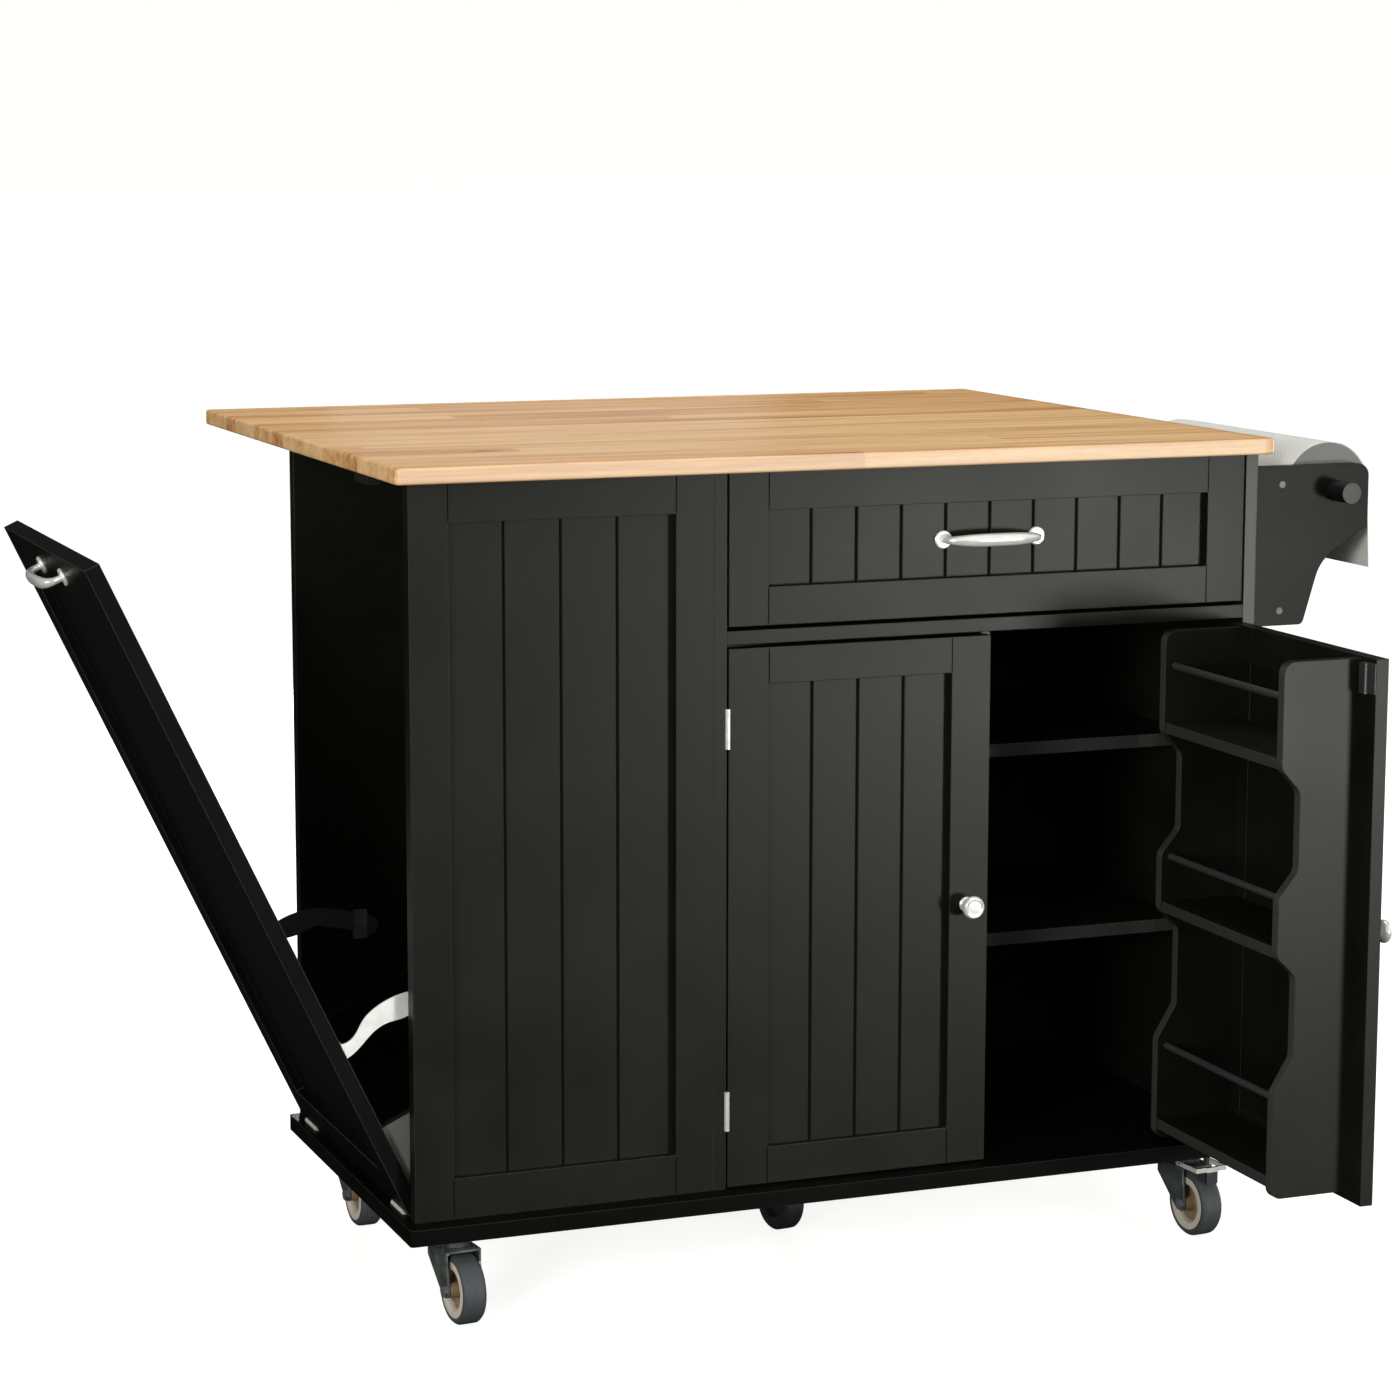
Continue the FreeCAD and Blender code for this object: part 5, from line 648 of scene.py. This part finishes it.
tread_profile = softened([(-x, r) for x, r in tread_side] + [(x, r) for x, r in reversed(tread_side)], 1.2, 4)
hub_side = [
    (TREAD_HALF - 0.8, TREAD_FOOT + 0.4), (TREAD_HALF - 0.2, TREAD_FOOT - 0.4), (TREAD_HALF - 0.2, HUB_RIM + 0.8),
    (TREAD_HALF - 1.4, HUB_RIM), (HUB_DISH, HUB_RIM - 3.5), (HUB_DISH, HUB_BOSS + 1.5), (HUB_DISH + 2, HUB_BOSS),
    (TREAD_HALF + 3, HUB_BOSS - 0.6), (TREAD_HALF + 3.4, HUB_BOSS - 1.4), (TREAD_HALF + 3.4, AXLE),
]
hub_profile = softened([(-x, r) for x, r in hub_side] + [(x, r) for x, r in reversed(hub_side)], 0.8, 4)
nut_radius = NUT_ACROSS / math.sqrt(3)
for spot, (x, y, turn) in CASTERS.items():
    turn = math.radians(turn)
    axle = (math.cos(turn), math.sin(turn), 0.0)
    centre = (x + BASE_CORNER[0] + TRAIL * math.sin(turn), y + BASE_CORNER[1] - TRAIL * math.cos(turn), WHEEL_RADIUS)
    # The middle caster is darkened all over as painted shade
    dark = spot == "middle"
    cover(spot + "_fork", shaded_steel if dark else fork_zinc)
    wheel_body = spot + "_wheel"
    tread = piece_from(f"{spot}_rubber_tread", *turned(tread_profile, centre, axle), wheel_body,
                       shaded_rubber if dark else rubber)
    hub = piece_from(f"{spot}_nylon_hub", *turned(hub_profile, centre, axle), wheel_body,
                     shaded_rubber if dark else nylon)
    # The hub's UV holds how far out a point is along the axle, as a share of the tread's half width
    outward = np.clip(np.abs(hub_profile[:, 0]) / TREAD_HALF, 0, 1) * (hub_profile[:, 1] > HUB_BOSS + 2)
    corner = np.empty(len(hub.data.loops), np.int32)
    hub.data.loops.foreach_get("vertex_index", corner)
    depth = np.stack([outward[corner % len(hub_profile)], np.zeros(len(corner))], -1)
    hub.data.uv_layers.new(name="depth").data.foreach_set("uv", depth.ravel())
    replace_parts(tread, wheel_body)
    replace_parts(hub, wheel_body)
    # A hexagon nut at each end of the axle
    for end in (-1, 1):
        nut = [(end * NUT_OUT, 0.01), (end * NUT_OUT, nut_radius), (end * (NUT_OUT + NUT_THICK), nut_radius * 0.97),
               (end * (NUT_OUT + NUT_THICK), 0.01)]
        nut = nut if end < 0 else nut[::-1]
        side = "left" if end < 0 else "right"
        piece_from(f"{spot}_axle_nut_{side}", *turned(nut, centre, axle, 6), spot + "_fork", dull_zinc, 25)
pedal_plate = plated("bright nickel with painted shade on the brake tab", NICKEL, NICKEL_RUBBED, 0.14, 0.24, CAST_WAVE,
                     PEDAL_TAB_SHADE, PEDAL_TOP_SHADE)
for spot in ("front_right", "back_right"):
    cover(spot + "_brake_pedal", pedal_plate)

# The room: a pale floor, white beyond it, soft boxes low down all round and a wide one above.
# Lacquer and metal see a room that is white in front and dark behind; the camera sees white all round.

FLOOR_REACH, FLOOR_GLOW = 60.0, 0.83
FLOOR_SEEN, FLOOR_MIRRORED, ROOM_WHITE = "#C2C2BF", "#2A2A29", "#FFFFFD"
WHITE_WALL = Vector((0.35, -0.93, 0.1)).normalized()
floor_mesh = bpy.data.meshes.new("floor")
corners = [(x * FLOOR_REACH, y * FLOOR_REACH, 0) for x, y in ((-1, -1), (1, -1), (1, 1), (-1, 1))]
floor_mesh.from_pydata(corners, [], [(0, 1, 2, 3)])
floor = bpy.data.objects.new("floor", floor_mesh)
bpy.context.scene.collection.objects.link(floor)
floor_paint, tree, place = material("pale studio floor")
ray = add(tree, "LightPath", out="all")
seen = add(tree, "Math", (ray["Is Camera Ray"], ray["Is Transmission Ray"]), operation="MAXIMUM")
tone = add(tree, "Mix", {"Factor": seen, "A": FLOOR_MIRRORED, "B": FLOOR_SEEN}, data_type="RGBA")
plain = add(tree, "BsdfDiffuse", {"Color": tone})
strength = add(tree, "Math", (seen, FLOOR_GLOW), operation="MULTIPLY")
glow = add(tree, "Emission", {"Color": ROOM_WHITE, "Strength": strength})
finish(floor_paint, add(tree, "AddShader", (plain, glow)))
cover(floor, floor_paint)

world = bpy.data.worlds.new("studio")
bpy.context.scene.world = world
world.use_nodes = True
tree = world.node_tree
tree.nodes.clear()
ray = add(tree, "LightPath", out="all")
aim = add(tree, "TexCoord", out="Generated")
towards_wall = add(tree, "VectorMath", (aim, WHITE_WALL), operation="DOT_PRODUCT")
wall = add(tree, "MapRange", {"Value": towards_wall, "From Min": -0.2, "From Max": 0.7, "To Min": 0.06, "To Max": 0.9})
seen = add(tree, "Math", (ray["Is Camera Ray"], ray["Is Transmission Ray"]), operation="MAXIMUM")
strength = add(tree, "Math", (wall, seen), operation="MAXIMUM")
sky = add(tree, "Background", {"Color": ROOM_WHITE, "Strength": strength})
add(tree, "OutputWorld", {"Surface": sky})


def lamp(name, at, towards, side, power):
    """A square soft box of that side in metres, facing a point."""
    light = bpy.data.lights.new(name, "AREA")
    light.size = side
    light.energy = power
    box = bpy.data.objects.new(name, light)
    box.location = at
    box.rotation_euler = (Vector(towards) - Vector(at)).to_track_quat("-Z", "Y").to_euler()
    bpy.context.scene.collection.objects.link(box)
    return box


key = lamp("key soft box", (2.2, -3.9, 0.25), (0.1, 0, 0.55), 0.7, 96)
fill = lamp("fill soft box", (-2.7, -2.8, 1.15), (0, 0, 0.7), 1.0, 88)
top = lamp("top soft box", (0.3, 0.2, 3.4), (0, 0.1, 0.9), 2.4, 50)
rear = lamp("rear soft box", (1.2, 4.0, 0.55), (0, 0.2, 0.5), 1.0, 90)
right_side = lamp("right soft box", (4.2, 0.9, 0.5), (0.5, 0, 0.5), 0.9, 60)
left_side = lamp("left soft box", (-4.4, 0.7, 0.4), (-0.6, 0, 0.4), 0.9, 35)

# The camera stands where the photograph was taken from, a little left of the cart and above its worktop.

CAMERA_AT = (-1.49301, -3.86598, 1.28264)
FOCAL_LENGTH, SENSOR_WIDE, SIGHT_REACH = 93.979, 36, 200
SHIFT_X, SHIFT_Y = -0.00042, -0.00304
AZIMUTH, ELEVATION, ROLL = (math.radians(x) for x in (-21.2375, 8.9508, 0.0764))
back = Vector((math.sin(AZIMUTH) * math.cos(ELEVATION), -math.cos(AZIMUTH) * math.cos(ELEVATION), math.sin(ELEVATION)))
right = Vector((math.cos(AZIMUTH), math.sin(AZIMUTH), 0))
up = back.cross(right)
lens = bpy.data.cameras.new("camera")
lens.sensor_width = SENSOR_WIDE
lens.lens = FOCAL_LENGTH
lens.shift_x, lens.shift_y = SHIFT_X, SHIFT_Y
lens.clip_end = SIGHT_REACH
camera = bpy.data.objects.new("camera", lens)
aimed = Matrix((right, up, back)).transposed() @ Matrix.Rotation(ROLL, 3, "Z")
camera.matrix_world = Matrix.Translation(CAMERA_AT) @ aimed.to_4x4()
bpy.context.scene.collection.objects.link(camera)
bpy.context.scene.camera = camera
bpy.context.scene.view_settings.view_transform = "Standard"
